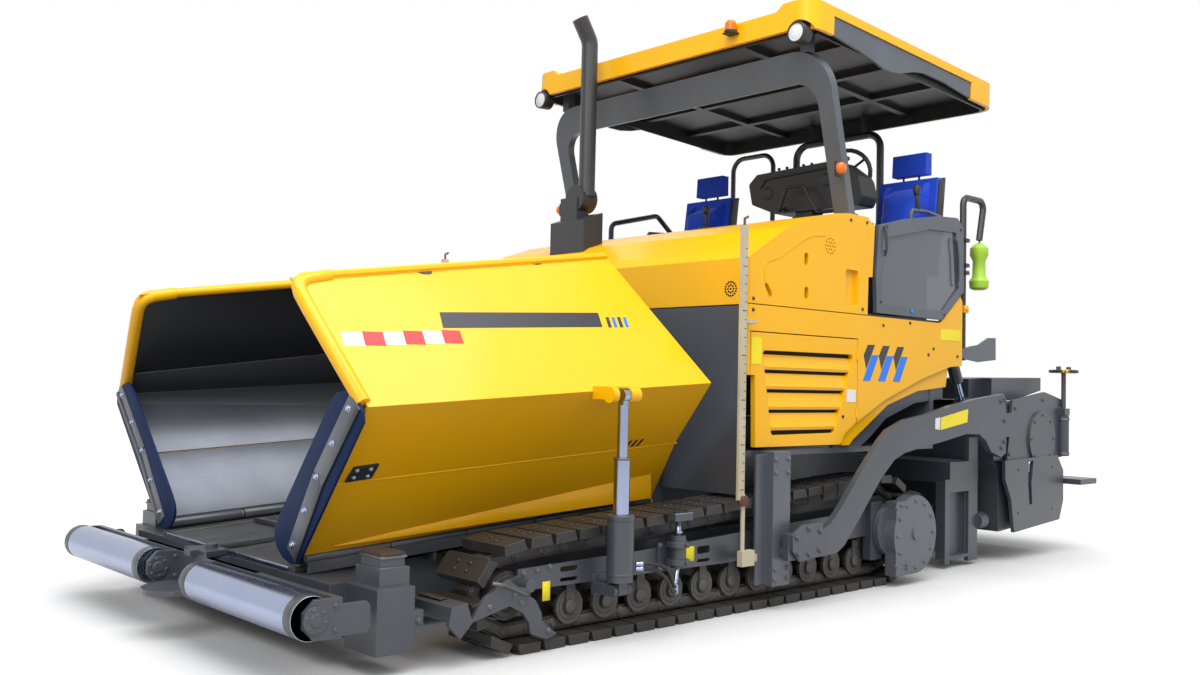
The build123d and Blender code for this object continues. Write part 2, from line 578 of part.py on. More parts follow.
lining = rounded(-40, 40 - ROOF_LENGTH, ROOF_HALF - 48, -180, -67, 80)
lining -= rounded(-54, 54 - ROOF_LENGTH, ROOF_HALF - 62, -190, -82, 70)
lining -= pair(rod((-120, LAMP[0], LAMP[1]), (0, LAMP[0], LAMP[1]), 84, 24))
for x in (-560, -1090, -1620):
    lining += block(x - 25, x + 25, -ROOF_HALF + 55, ROOF_HALF - 55, -118, -75)
for y in (-560, 560):
    lining += block(54 - ROOF_LENGTH, -54, y - 25, y + 25, -118, -75)
PARTS["canopy_lining"] = tipped(lining)

# Portal: one bent frame that leans back, drawn on its own sloping plane.
LEAN_BACK = 15.2
PORTAL = Plane(origin=(-291, 0, 2198), x_dir=(0, 1, 0),
               z_dir=(cos(radians(LEAN_BACK)), 0, -sin(radians(LEAN_BACK))))
arch_outer = make_face(FilletPolyline((-1220, 0), (-1220, 1002), (1220, 1002), (1220, 0), radius=250)
                       + Line((1220, 0), (-1220, 0)))
arch_inner = make_face(FilletPolyline((-1112, 0), (-1112, 812), (1112, 812), (1112, 0), radius=150)
                       + Line((1112, 0), (-1112, 0)))
portal = extrude(PORTAL * arch_outer, -60) - extrude(PORTAL * arch_inner, -60)
portal += pair(block(-95, -35, 1035, 1095, 3150, 3318))
portal += pair(block(-370, -285, 1090, 1226, 2199, 2215))
PARTS["canopy_posts"] = portal

lamp = rod((60, LAMP[0], 3212), (145, LAMP[0], 3212), 52, 24)
lamp += block(89, 97, LAMP[0] - 40, LAMP[0] - 20, 3240, 3342)
PARTS["lamps"] = pair(lamp)

# ---- rails ---------------------------------------------------------------------------------------
rail = pipe([(-627, -1178, DECK_Z), (-627, -1178, 2400), (-1130, -1178, 2522), (-1309, -1178, 2388),
             (-1309, -1178, DECK_Z)], 20, 60)
hook = pipe([(-1670, 1190, 1380), (-1670, 1190, 2490), (-1954, 1190, 2492), (-1890, 1190, 2218)], 23, 55)
hook += block(-1690, BODY_REAR + 3, 1178, 1202, 1420, 1460)
hook += block(-1690, BODY_REAR - 60, 1178, 1202, DECK_Z - 20, DECK_Z)
rails = rail + pair(hook)
# two hoops behind the driver: the larger carries the rear of the canopy
for y0, y1, top, radius in ((-385, 385, 3090, 28), (-1040, -620, 3070, 20)):
    rails += pipe([(-1560, y0, DECK_Z), (-1560, y0, 1900), (-1900, y0, 2400), (-1900, y0, top),
                   (-1900, y1, top), (-1900, y1, 2400), (-1560, y1, 1900), (-1560, y1, DECK_Z)], radius, 110)
rails += pair(rod((-1900, 240, 3080), (-1900, 240, 3237), 22, 8))
PARTS["handrails"] = rails

# ---- guide columns, tow points and the brackets of the lift cylinders -------------------------------
column = block(415, 560, 1292, 1350, 125, 830)
column += block(556, 640, 1286, 1300, 135, 815)
column += rod((TOW[0], 1350, TOW[2]), (TOW[0], ARM_OUT - 4, TOW[2]), 30)
columns = pair(column)
# bracket behind the body, and the ears with the pin that hold the screed's lift cylinders
columns += pair(plate_y([(BODY_REAR + 3, 1444), (-1740, 1480), (-1825, 1490), (-1962, 1544), (-2061, 1548),
                         (-2064, 1394), (-1826, 1373), (BODY_REAR + 3, 1397)], 1214, 1228))
for y in (998, 1108):
    columns += pair(plate_y([(BODY_REAR + 3, 1405), (-1700, 1450), (-1750, 1480), (-1750, 1530), (-1700, 1550),
                             (BODY_REAR + 3, 1558)], y, y + 14))
columns += pair(rod((-1700, 998, 1500), (-1700, 1122, 1500), 16))
PARTS["guide_columns"] = columns

# upright scale beside the tow point, on its adjusting rod
scale = block(780, 832, 1322, 1336, 590, 2005)
scale += rod((785, 1330, 300), (785, 1330, 620), 12, 12)
scale += block(703, 802, 1312, 1346, 250, 330)
scale += block(680, 790, 1300, 1323, 1500, 1520)
scale += block(680, 694, BODY_OUT - 28, 1322, 1500, 1520)
scale += block(640, 720, 1290, 1312, 262, 300)
PARTS["level_scales"] = pair(scale)

# ---- tow arms ------------------------------------------------------------------------------------
arm_side = [(505, 262), (192, 260), (71, 266), (-4, 303), (-166, 459), (-365, 659), (-500, 759), (-608, 797),
            (-740, 817), (-1028, 854), (-1334, 899), (-1501, 896), (-1594, 849), (-1662, 776), (-1798, 739),
            (-1860, 765), (-1868, 1000), (-1835, 1160), (-1459, 1123), (-1145, 1077), (-850, 1022), (-626, 993),
            (-444, 935), (-361, 878), (-161, 696), (29, 510), (122, 433), (213, 402), (505, 402)]
arm = plate_y(arm_side, ARM_IN, ARM_OUT)
arm -= rod((TOW[0], 1300, TOW[2]), (TOW[0], 1500, TOW[2]), 30.06)
arm += plate_y([(486, 399), (400, 445), (222, 448), (208, 270), (422, 252), (484, 310)], ARM_OUT, 1425, 16)
arm += block(-2100, -1800, 1258, ARM_IN + 5, 870, 1030)
PARTS["tow_arms"] = pair(arm)

# ---- screed --------------------------------------------------------------------------------------
screed = plate_y([(-2090, 205), (-2080, 620), (-1985, 700), (-1985, 1000), (-2090, 1100), (-2480, 1110), (-2480, 640),
                  (-2500, 228)], -1240, 1240)
# side plate with two windows
side_plate = plate_y([(-1985, 700), (-1990, 1105), (-2190, 1112), (-2190, 840), (-2110, 690)], 1240, 1258)
for z in (800, 1010):
    side_plate -= block(-2150, -2070, 1230, 1270, z, z + 52)
screed += pair(side_plate)
PARTS["screed"] = screed
screed_deck = plate_y([(-2156, 1113), (-2156, 1269), (-2909, 1286), (-2909, 1190), (-2480, 1113)], -1150, 1150)
screed_deck += plate_y([(-2000, 1119), (-2000, 1262), (-2156, 1269), (-2156, 1125)], -1060, 1060)
screed_deck += block(-3265, -2990, -1420, 1420, 500, 540)
screed_deck += block(-3040, -2990, -60, 60, 540, 1190)
screed_deck += block(-3040, -2900, -60, 60, 1190, 1230)
# ears that the lift cylinders pull on
for y in (1016, 1090):
    screed_deck += pair(plate_y([(-1985, 1001), (-2075, 1087), (-1960, 1125), (-1890, 1125), (-1870, 1100),
                                 (-1870, 1020)], y, y + 14))
PARTS["screed_deck"] = screed_deck

extension = plate_y([(-2520, 230), (-2520, 600), (-2900, 640), (-2900, 250)], 12, 1285)
end_plate = [(-2050, 700), (-2055, 570), (-2139, 428), (-2185, 200), (-2884, 245), (-2948, 384), (-2946, 605),
             (-2846, 719)]
extension += plate_y(end_plate, 1285, 1310)
extension -= plate_y([(-2395, 680), (-2470, 690), (-2440, 520), (-2455, 380), (-2410, 380), (-2390, 520)], 1280, 1320)
hood_plate = [(-2120, 690), (-2201, 1117), (-2690, 1179), (-2802, 1158), (-2984, 1122), (-3019, 1009),
              (-3053, 896), (-3055, 708), (-2840, 690)]
extension += plate_y(hood_plate, 1266, 1286)
extension += rod((-2630, 1284, 840), (-2630, 1302, 840), 200, 36)
# crank, spindle and cylinder that set the height of the end plate
extension += rod((-2966, 1300, 708), (-2966, 1300, 1009), 40, 12)
extension += rod((-2966, 1300, 1000), (-2966, 1300, 1330), 17, 10)
extension += block(-3005, -2925, 1280, 1330, 1010, 1060)
extension += rod((-2966, 1300, 1325), (-2966, 1300, 1345), 95, 14)
for x in (-3050, -2882):
    extension += rod((x, 1300, 1340), (x, 1300, 1372), 18, 8)
for x, z in BOLT_HOLES:
    extension -= rod((x, 1270, z), (x, 1320, z), BOLT_R)
PARTS["screed_extension_left"] = extension
PARTS["screed_extension_right"] = right(extension)

# ---- augers and the frame that carries them ------------------------------------------------------
frame = block(-1880, -1510, -1200, 1200, 560, 700)
end_frame = block(-1510, -1450, 1170, 1200, 30, 585)
end_frame += block(-1875, -1755, 1170, 1200, 30, 860)
end_frame += block(-1760, -1505, 1130, 1150, 60, 565)
end_frame += block(-1760, -1505, 1130, 1200, 60, 80)
end_frame += block(-1760, -1505, 1130, 1200, 500, 570)
end_frame += block(-1520, -1450, 1130, 1175, 60, 565)
end_frame += block(-1800, -1750, 1130, 1175, 60, 565)
end_frame += rod((-1870, 1182, 290), (-1965, 1182, 290), 56, 20)
frame += pair(end_frame)
frame += block(-1760, -1620, -25, 25, 200, 560)
frame += pair(block(-1510, -1240, 560, 640, 560, 700))
PARTS["auger_frame"] = frame

AUGER_START, AUGER_END = 120, 1090     # ends of the left auger's blade
AUGER_PITCH = 300


def ribbon():
    """The blade: a strip of flat triangles wound round the shaft, closed at both ends."""
    step = 12                              # flats in one turn
    corners = ((28, -5), (AUGER_R, -5), (AUGER_R, 5), (28, 5))
    rings = []
    for n in range(round((AUGER_END - AUGER_START) / AUGER_PITCH * step) + 1):
        turn = 2 * pi * n / step
        y = AUGER_START + n * AUGER_PITCH / step
        rings.append([(AUGER_X + r * cos(turn), y + shift, AUGER_Z + r * sin(turn)) for r, shift in corners])
    faces = [Face(Wire.make_polygon(rings[0])), Face(Wire.make_polygon(rings[-1]))]
    for near, far in zip(rings, rings[1:]):
        for i in range(4):
            j = (i + 1) % 4
            faces.append(Face(Wire.make_polygon([near[i], near[j], far[j]])))
            faces.append(Face(Wire.make_polygon([near[i], far[j], far[i]])))
    return Solid(Shell(faces))


def auger():
    """Shaft with a blade wound round it."""
    return rod((AUGER_X, 40, AUGER_Z), (AUGER_X, AUGER_END + 20, AUGER_Z), 35) + ribbon()


PARTS["auger_left"] = auger()
PARTS["auger_right"] = right(auger())

# ---- lift cylinders of the screed ----------------------------------------------------------------
LIFT_TOP = (-1700, 1060, 1500)
LIFT_EYE = (-1915, 1060, 1090)
reach = Vector(*LIFT_EYE) - Vector(*LIFT_TOP)
direction = reach.normalized()


def along(distance):
    point = Vector(*LIFT_TOP) + direction * distance
    return (point.X, point.Y, point.Z)


lift_barrel = rod(along(0), along(300), 42, 20) - rod(along(20), along(300), 22.06)
lift_barrel += rod((LIFT_TOP[0], 1030, LIFT_TOP[2]), (LIFT_TOP[0], 1090, LIFT_TOP[2]), 45)
lift_barrel -= rod((LIFT_TOP[0], 1000, LIFT_TOP[2]), (LIFT_TOP[0], 1120, LIFT_TOP[2]), 16.06)
PARTS["lift_barrel_left"] = lift_barrel
PARTS["lift_barrel_right"] = right(lift_barrel)
lift_rod = rod(along(60), along(reach.length), 22)
lift_rod += rod((LIFT_EYE[0], 1035, LIFT_EYE[2]), (LIFT_EYE[0], 1085, LIFT_EYE[2]), 34)
PARTS["lift_rod_left"] = lift_rod
PARTS["lift_rod_right"] = right(lift_rod)

for name, shape in PARTS.items():
    export_step(shape, "parts/" + name + ".step")
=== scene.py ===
"""Tracked asphalt paver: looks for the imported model, laid out as a Blender add-on."""
import json
import math

import bmesh
import bpy
from bpy.props import FloatProperty, FloatVectorProperty, PointerProperty
from mathutils import Matrix, Vector


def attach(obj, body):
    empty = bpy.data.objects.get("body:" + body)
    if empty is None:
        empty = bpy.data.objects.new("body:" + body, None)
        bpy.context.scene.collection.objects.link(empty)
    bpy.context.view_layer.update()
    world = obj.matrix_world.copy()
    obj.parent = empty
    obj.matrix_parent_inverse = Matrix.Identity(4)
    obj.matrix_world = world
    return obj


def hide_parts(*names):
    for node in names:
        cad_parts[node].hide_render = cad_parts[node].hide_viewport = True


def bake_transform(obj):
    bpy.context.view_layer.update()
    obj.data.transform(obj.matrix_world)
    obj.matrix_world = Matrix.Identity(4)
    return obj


bl_info = {
    "name": "Asphalt Paver",
    "version": (1, 0, 0),
    "blender": (4, 5, 0),
    "location": "View3D > Sidebar > Paver",
    "description": "Finishes a tracked asphalt paver and sets up its studio",
    "category": "Object",
}

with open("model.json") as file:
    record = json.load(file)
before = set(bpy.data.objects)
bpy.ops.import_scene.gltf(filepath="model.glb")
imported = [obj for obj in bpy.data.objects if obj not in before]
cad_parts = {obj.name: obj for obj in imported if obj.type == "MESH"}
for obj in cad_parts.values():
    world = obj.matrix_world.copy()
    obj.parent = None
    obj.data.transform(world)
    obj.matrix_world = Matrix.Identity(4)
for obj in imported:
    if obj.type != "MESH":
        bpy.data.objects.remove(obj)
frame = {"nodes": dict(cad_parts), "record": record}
NODES = frame["nodes"]
SIDES = (("left", 1), ("right", -1))

# ---- node trees ------------------------------------------------------------------------------------


def add(tree, kind, **values):
    """A node with its inputs and settings given by name."""
    node = tree.nodes.new("ShaderNode" + kind)
    for key, value in values.items():
        if hasattr(node, key):
            setattr(node, key, value)
        else:
            node.inputs[key.replace("_", " ").title()].default_value = value
    return node


def effect(name, inputs, outputs):
    """A shader node group with named sockets, and its input and output nodes."""
    tree = bpy.data.node_groups.new(name, "ShaderNodeTree")
    for label, kind, value in inputs:
        socket = tree.interface.new_socket(label, in_out="INPUT", socket_type="NodeSocket" + kind)
        socket.default_value = value
    for label, kind in outputs:
        tree.interface.new_socket(label, in_out="OUTPUT", socket_type="NodeSocket" + kind)
    return tree, tree.nodes.new("NodeGroupInput"), tree.nodes.new("NodeGroupOutput")


def math_node(tree, operation, a, b=None, clamp=False):
    node = add(tree, "Math", operation=operation, use_clamp=clamp)
    for socket, value in zip(node.inputs, (a, b)):
        if value is None:
            continue
        if isinstance(value, (int, float)):
            socket.default_value = value
        else:
            tree.links.new(value, socket)
    return node.outputs[0]


def mottle_effect():
    """Uneven colour: a base colour drifting softly towards a second one."""
    tree, put, out = effect("Mottle", (
        ("Colour", "Color", (0.5, 0.5, 0.5, 1)),
        ("Second Colour", "Color", (0.4, 0.4, 0.4, 1)),
        ("Scale", "Float", 3.0),
        ("Amount", "Float", 0.5),
    ), (("Colour", "Color"), ("Mask", "Float")))
    spot = add(tree, "TexCoord")
    noise = add(tree, "TexNoise", Detail=5.0, Roughness=0.6)
    tree.links.new(spot.outputs["Object"], noise.inputs["Vector"])
    tree.links.new(put.outputs["Scale"], noise.inputs["Scale"])
    spread = add(tree, "MapRange")
    spread.inputs["From Min"].default_value = 0.35
    spread.inputs["From Max"].default_value = 0.7
    tree.links.new(noise.outputs["Fac"], spread.inputs["Value"])
    mask = math_node(tree, "MULTIPLY", spread.outputs["Result"], put.outputs["Amount"], True)
    mix = add(tree, "Mix", data_type="RGBA")
    tree.links.new(mask, mix.inputs[0])
    tree.links.new(put.outputs["Colour"], mix.inputs[6])
    tree.links.new(put.outputs["Second Colour"], mix.inputs[7])
    tree.links.new(mix.outputs[2], out.inputs["Colour"])
    tree.links.new(mask, out.inputs["Mask"])
    return tree


def dust_effect():
    """Pale dust that is thickest near the ground and in soft patches."""
    tree, put, out = effect("Dust", (
        ("Colour", "Color", (0.5, 0.5, 0.5, 1)),
        ("Dust Colour", "Color", (0.30, 0.27, 0.24, 1)),
        ("Height", "Float", 0.6),
        ("Amount", "Float", 0.3),
    ), (("Colour", "Color"), ("Mask", "Float")))
    spot = add(tree, "TexCoord")
    split = add(tree, "SeparateXYZ")
    tree.links.new(spot.outputs["Object"], split.inputs[0])
    noise = add(tree, "TexNoise", Scale=9.0, Detail=6.0, Roughness=0.7)
    tree.links.new(spot.outputs["Object"], noise.inputs["Vector"])
    low = add(tree, "MapRange")
    low.inputs["To Min"].default_value = 1.0
    low.inputs["To Max"].default_value = 0.0
    tree.links.new(split.outputs["Z"], low.inputs["Value"])
    tree.links.new(put.outputs["Height"], low.inputs["From Max"])
    patch = math_node(tree, "MULTIPLY", low.outputs["Result"], noise.outputs["Fac"])
    mask = math_node(tree, "MULTIPLY", patch, put.outputs["Amount"], True)
    mix = add(tree, "Mix", data_type="RGBA")
    tree.links.new(mask, mix.inputs[0])
    tree.links.new(put.outputs["Colour"], mix.inputs[6])
    tree.links.new(put.outputs["Dust Colour"], mix.inputs[7])
    tree.links.new(mix.outputs[2], out.inputs["Colour"])
    tree.links.new(mask, out.inputs["Mask"])
    return tree


def grain_effect():
    """Fine surface relief with a roughness that varies with it."""
    tree, put, out = effect("Grain", (
        ("Scale", "Float", 200.0),
        ("Stretch", "Vector", (1.0, 1.0, 1.0)),
        ("Roughness", "Float", 0.4),
        ("Variation", "Float", 0.1),
    ), (("Height", "Float"), ("Roughness", "Float")))
    spot = add(tree, "TexCoord")
    stretch = add(tree, "VectorMath", operation="MULTIPLY")
    tree.links.new(spot.outputs["Object"], stretch.inputs[0])
    tree.links.new(put.outputs["Stretch"], stretch.inputs[1])
    noise = add(tree, "TexNoise", Detail=3.0, Roughness=0.55)
    tree.links.new(stretch.outputs[0], noise.inputs["Vector"])
    tree.links.new(put.outputs["Scale"], noise.inputs["Scale"])
    swing = math_node(tree, "SUBTRACT", noise.outputs["Fac"], 0.5)
    swing = math_node(tree, "MULTIPLY", swing, put.outputs["Variation"])
    rough = math_node(tree, "ADD", swing, put.outputs["Roughness"], True)
    tree.links.new(noise.outputs["Fac"], out.inputs["Height"])
    tree.links.new(rough, out.inputs["Roughness"])
    return tree


def edge_effect():
    """Rounded shading along edges, and a worn colour where an edge stands proud."""
    tree, put, out = effect("Edge", (
        ("Colour", "Color", (0.5, 0.5, 0.5, 1)),
        ("Worn Colour", "Color", (0.3, 0.3, 0.3, 1)),
        ("Amount", "Float", 0.3),
    ), (("Colour", "Color"), ("Normal", "Vector")))
    round_edge = add(tree, "Bevel", samples=4)
    round_edge.inputs["Radius"].default_value = 0.004
    shape = add(tree, "NewGeometry")
    turn = add(tree, "VectorMath", operation="DOT_PRODUCT")
    tree.links.new(round_edge.outputs[0], turn.inputs[0])
    tree.links.new(shape.outputs["Normal"], turn.inputs[1])
    edge = add(tree, "MapRange")
    edge.inputs["From Min"].default_value = 0.995
    edge.inputs["From Max"].default_value = 0.86
    tree.links.new(turn.outputs["Value"], edge.inputs["Value"])
    spot = add(tree, "TexCoord")
    noise = add(tree, "TexNoise", Scale=22.0, Detail=5.0, Roughness=0.7)
    tree.links.new(spot.outputs["Object"], noise.inputs["Vector"])
    patch = math_node(tree, "MULTIPLY", edge.outputs["Result"], noise.outputs["Fac"])
    mask = math_node(tree, "MULTIPLY", patch, put.outputs["Amount"], True)
    mix = add(tree, "Mix", data_type="RGBA")
    tree.links.new(mask, mix.inputs[0])
    tree.links.new(put.outputs["Colour"], mix.inputs[6])
    tree.links.new(put.outputs["Worn Colour"], mix.inputs[7])
    tree.links.new(mix.outputs[2], out.inputs["Colour"])
    tree.links.new(round_edge.outputs[0], out.inputs["Normal"])
    return tree


EFFECTS = {}


def place(tree, name, **values):
    """One of the shared effects, placed in a material with its own values."""
    node = add(tree, "Group", node_tree=EFFECTS[name])
    for key, value in values.items():
        node.inputs[key.replace("_", " ")].default_value = value
    return node


def srgb(red, green, blue):
    """A colour written as on a paint card, 0 to 255, as the linear values that shaders use."""
    def linear(value):
        share = value / 255
        return share / 12.92 if share <= 0.04045 else ((share + 0.055) / 1.055) ** 2.4
    return (linear(red), linear(green), linear(blue), 1.0)


def finish(name, colour, second, mottle=(2.0, 0.5), dust=(0.6, 0.3), grain=(200.0, 0.4, 0.1),
           relief=0.05,
           stretch=(1, 1, 1), worn=(0.0, (0.3, 0.3, 0.3, 1)), **shader):
    """A material built from the shared effects round one Principled shader."""
    material = bpy.data.materials.new(name)
    material.use_nodes = True
    tree = material.node_tree
    tree.nodes.clear()
    out = tree.nodes.new("ShaderNodeOutputMaterial")
    body = add(tree, "BsdfPrincipled")
    for key, value in shader.items():
        body.inputs[key.replace("_", " ").title().replace("Ior", "IOR")].default_value = value
    uneven = place(tree, "Mottle", Colour=colour, Second_Colour=second, Scale=mottle[0],
                   Amount=mottle[1])
    dusty = place(tree, "Dust", Height=dust[0], Amount=dust[1])
    fine = place(tree, "Grain", Scale=grain[0], Roughness=grain[1], Variation=grain[2],
                 Stretch=stretch)
    bump = add(tree, "Bump", Strength=relief, Distance=0.002)
    edge = place(tree, "Edge", Worn_Colour=worn[1], Amount=worn[0])
    tree.links.new(uneven.outputs["Colour"], edge.inputs["Colour"])
    tree.links.new(edge.outputs["Colour"], dusty.inputs["Colour"])
    tree.links.new(edge.outputs["Normal"], bump.inputs["Normal"])
    tree.links.new(dusty.outputs["Colour"], body.inputs["Base Color"])
    tree.links.new(fine.outputs["Roughness"], body.inputs["Roughness"])
    tree.links.new(fine.outputs["Height"], bump.inputs["Height"])
    tree.links.new(bump.outputs["Normal"], body.inputs["Normal"])
    tree.links.new(body.outputs[0], out.inputs[0])
    return material


MATERIALS = {}


def make_materials(colours):
    """Every finish of the machine, by the name of its slot in the record."""
    EFFECTS.update(Mottle=mottle_effect(), Dust=dust_effect(), Grain=grain_effect(),
                   Edge=edge_effect())
    yellow = (*colours.yellow, 1)
    grey = (*colours.grey, 1)
    made = MATERIALS
    made["yellow_paint"] = finish(
        "Yellow paint", yellow, tuple(c * 0.93 for c in yellow[:3]) + (1,), (1.3, 0.5), (0.9, 0.10),
        (260.0, 0.36, 0.10), 0.02, specular_ior_level=0.3, coat_weight=0.22, coat_roughness=0.12)
    made["grey_paint"] = finish(
        "Grey paint", grey, srgb(64, 69, 78), (2.2, 0.6), (0.7, 0.2), (240.0, 0.42, 0.16), 0.03,
        worn=(0.5, srgb(150, 154, 160)), coat_weight=0.25, coat_roughness=0.25)
    # A darker copy of the grey paint, at 0.6 of its brightness: painted shade on the low frames, arms, screed and
    # their fittings.
    made["frame_paint"] = finish(
        "Grey paint in painted shade", tuple(c * 0.6 for c in grey[:3]) + (1,), srgb(48, 55, 66), (2.2, 0.6),
        (0.7, 0.12),
        (240.0, 0.4, 0.16), 0.03, worn=(0.5, srgb(130, 136, 144)), coat_weight=0.25,
        coat_roughness=0.25)
    made["black_paint"] = finish(
        "Black paint", srgb(38, 39, 42), srgb(52, 53, 56), (3.0, 0.6), (0.7, 0.3),
        (220.0, 0.4, 0.2), 0.04,
        coat_weight=0.2, coat_roughness=0.3)
    made["worn_steel"] = finish(
        "Worn steel", srgb(120, 121, 124), srgb(82, 80, 79), (5.0, 0.9), (0.8, 0.25),
        (60.0, 0.42, 0.35), 0.06,
        (0.15, 1, 1), metallic=0.85)
    made["polished_steel"] = finish(
        "Polished steel", srgb(160, 170, 196), srgb(132, 144, 176), (1.5, 0.6), (0.3, 0.02),
        (90.0, 0.26, 0.16),
        0.015, (1, 0.1, 1), metallic=1.0)
    made["chrome"] = finish(
        "Chrome", srgb(158, 168, 192), srgb(128, 140, 170), (2.0, 0.5), (0.2, 0.02),
        (120.0, 0.16, 0.1), 0.01,
        (1, 1, 0.1), metallic=1.0)
    made["track_rubber"] = finish(
        "Track shoes", srgb(37, 37, 38), srgb(49, 47, 45), (14.0, 0.9), (0.5, 0.05),
        (90.0, 0.52, 0.25), 0.25,
        worn=(0.8, srgb(128, 122, 116)))
    made["navy_rubber"] = finish(
        "Navy rubber", srgb(0, 27, 66), srgb(2, 38, 84), (3.0, 0.7), (0.6, 0.0), (300.0, 0.6, 0.1),
        0.03,
        specular_ior_level=0.2)
    made["cast_iron"] = finish(
        "Cast iron", srgb(60, 61, 64), srgb(78, 74, 70), (10.0, 0.8), (0.5, 0.5),
        (150.0, 0.55, 0.3), 0.15,
        metallic=0.4)
    made["seat_fabric"] = finish(
        "Cushion fabric", srgb(10, 70, 205), srgb(8, 56, 180), (6.0, 0.7), (0.1, 0.0),
        (700.0, 0.8, 0.1), 0.25,
        sheen_weight=0.3, sheen_roughness=0.4)
    made["black_plastic"] = finish(
        "Black plastic", srgb(36, 36, 38), srgb(50, 50, 52), (5.0, 0.5), (0.2, 0.0),
        (420.0, 0.48, 0.12), 0.12)
    made["smoked_glass"] = finish(
        "Smoked glass", srgb(92, 97, 106), srgb(80, 86, 94), (1.2, 0.5), (0.2, 0.0),
        (40.0, 0.12, 0.05),
        0.0, alpha=0.82, coat_weight=0.5, coat_roughness=0.05)
    made["lamp_glass"] = finish(
        "Lamp glass", srgb(232, 236, 240), srgb(205, 212, 220), (30.0, 0.6), (0.1, 0.0),
        (60.0, 0.15, 0.05),
        0.1, coat_weight=1.0, coat_roughness=0.03)
    made["pale_paint"] = finish(
        "Pale paint", srgb(196, 186, 160), srgb(176, 164, 136), (5.0, 0.7), (0.9, 0.1),
        (200.0, 0.4, 0.1), 0.03,
        worn=(0.5, srgb(120, 110, 92)))
    # The rough near-black in this list is painted shade, put in holes, recesses and gaps between panels; the
    # darkest inner sheet is painted shade under the wear plates of the wings.
    for name, colour, rough in (
            ("black_marking_and_hole_shade", (36, 38, 46), 0.4), ("marking_blue", (18, 124, 240), 0.38),
            ("marking_white", (236, 236, 232), 0.4), ("marking_red", (206, 38, 40), 0.4),
            ("sticker_yellow", (252, 232, 22), 0.4), ("orange_lens", (244, 120, 14), 0.2),
            ("lime_plastic", (168, 212, 60), 0.42), ("painted_shade_black", (12, 11, 10), 0.9),
            ("painted_shade_sheet", (17, 18, 22), 0.5), ("dark_plate", (44, 47, 53), 0.42),
            ("hose_rubber", (20, 20, 22), 0.5), ("saddle_rubber", (56, 46, 42), 0.6)):
        tone = srgb(*colour)
        made[name] = finish(name.replace("_", " ").capitalize(), tone,
                            tuple(c * 0.88 for c in tone[:3]) + (1,),
                            (6.0, 0.5), (0.4, 0.06), (260.0, rough, 0.1), 0.03)
    made["wear_plate"] = finish(
        "Wear plate", srgb(96, 100, 108), srgb(76, 80, 88), (1.6, 0.8), (0.6, 0.08),
        (70.0, 0.36, 0.14), 0.03,
        (0.15, 1, 1), metallic=0.6)
    made["rust_red"] = finish(
        "Rusted steel", srgb(122, 66, 50), srgb(70, 56, 52), (16.0, 0.9), (0.5, 0.2),
        (150.0, 0.6, 0.3), 0.15,
        metallic=0.3)
    return made


# ---- settings ---------------------------------------------------------------------------------------


class PaverColours(bpy.types.PropertyGroup):
    """Colours that a fleet owner would change."""
    yellow: FloatVectorProperty(name="Yellow paint",
                                description="Paint of the panels, wings and canopy",
                                subtype="COLOR", size=3, min=0, max=1,
                                default=srgb(252, 186, 0)[:3])
    grey: FloatVectorProperty(name="Grey paint", description="Paint of the frame, arms and screed",
                              subtype="COLOR", size=3, min=0, max=1, default=srgb(82, 88, 98)[:3])


class PaverStudio(bpy.types.PropertyGroup):
    """Camera and light of the studio."""
    lens: FloatProperty(name="Lens", description="Focal length on a 36 mm wide sensor",
                        default=33.47, min=10)
    place: FloatVectorProperty(name="Camera place", description="Where the camera stands",
                               subtype="XYZ",
                               unit="LENGTH", size=3, default=(5.264, 5.018, 1.169))
    yaw: FloatProperty(name="Yaw", description="Heading of the camera, from +X towards +Y",
                       unit="ROTATION",
                       default=math.radians(-133.096))
    pitch: FloatProperty(name="Pitch", description="How far the camera looks up", unit="ROTATION",
                         default=math.radians(2.377))
    roll: FloatProperty(name="Roll", description="How far the camera leans", unit="ROTATION",
                        default=math.radians(1.244))
    sky: FloatProperty(name="Sky", description="Strength of the even light from all round",
                       default=0.62, min=0)
    key: FloatProperty(name="Key light", description="Power of the large lamp overhead",
                       default=900.0, min=0)
    fill: FloatProperty(name="Fill light", description="Power of the lamp beside the camera",
                        default=260.0, min=0)


# ---- mesh building: lengths in millimetres until a piece is made ------------------------------------


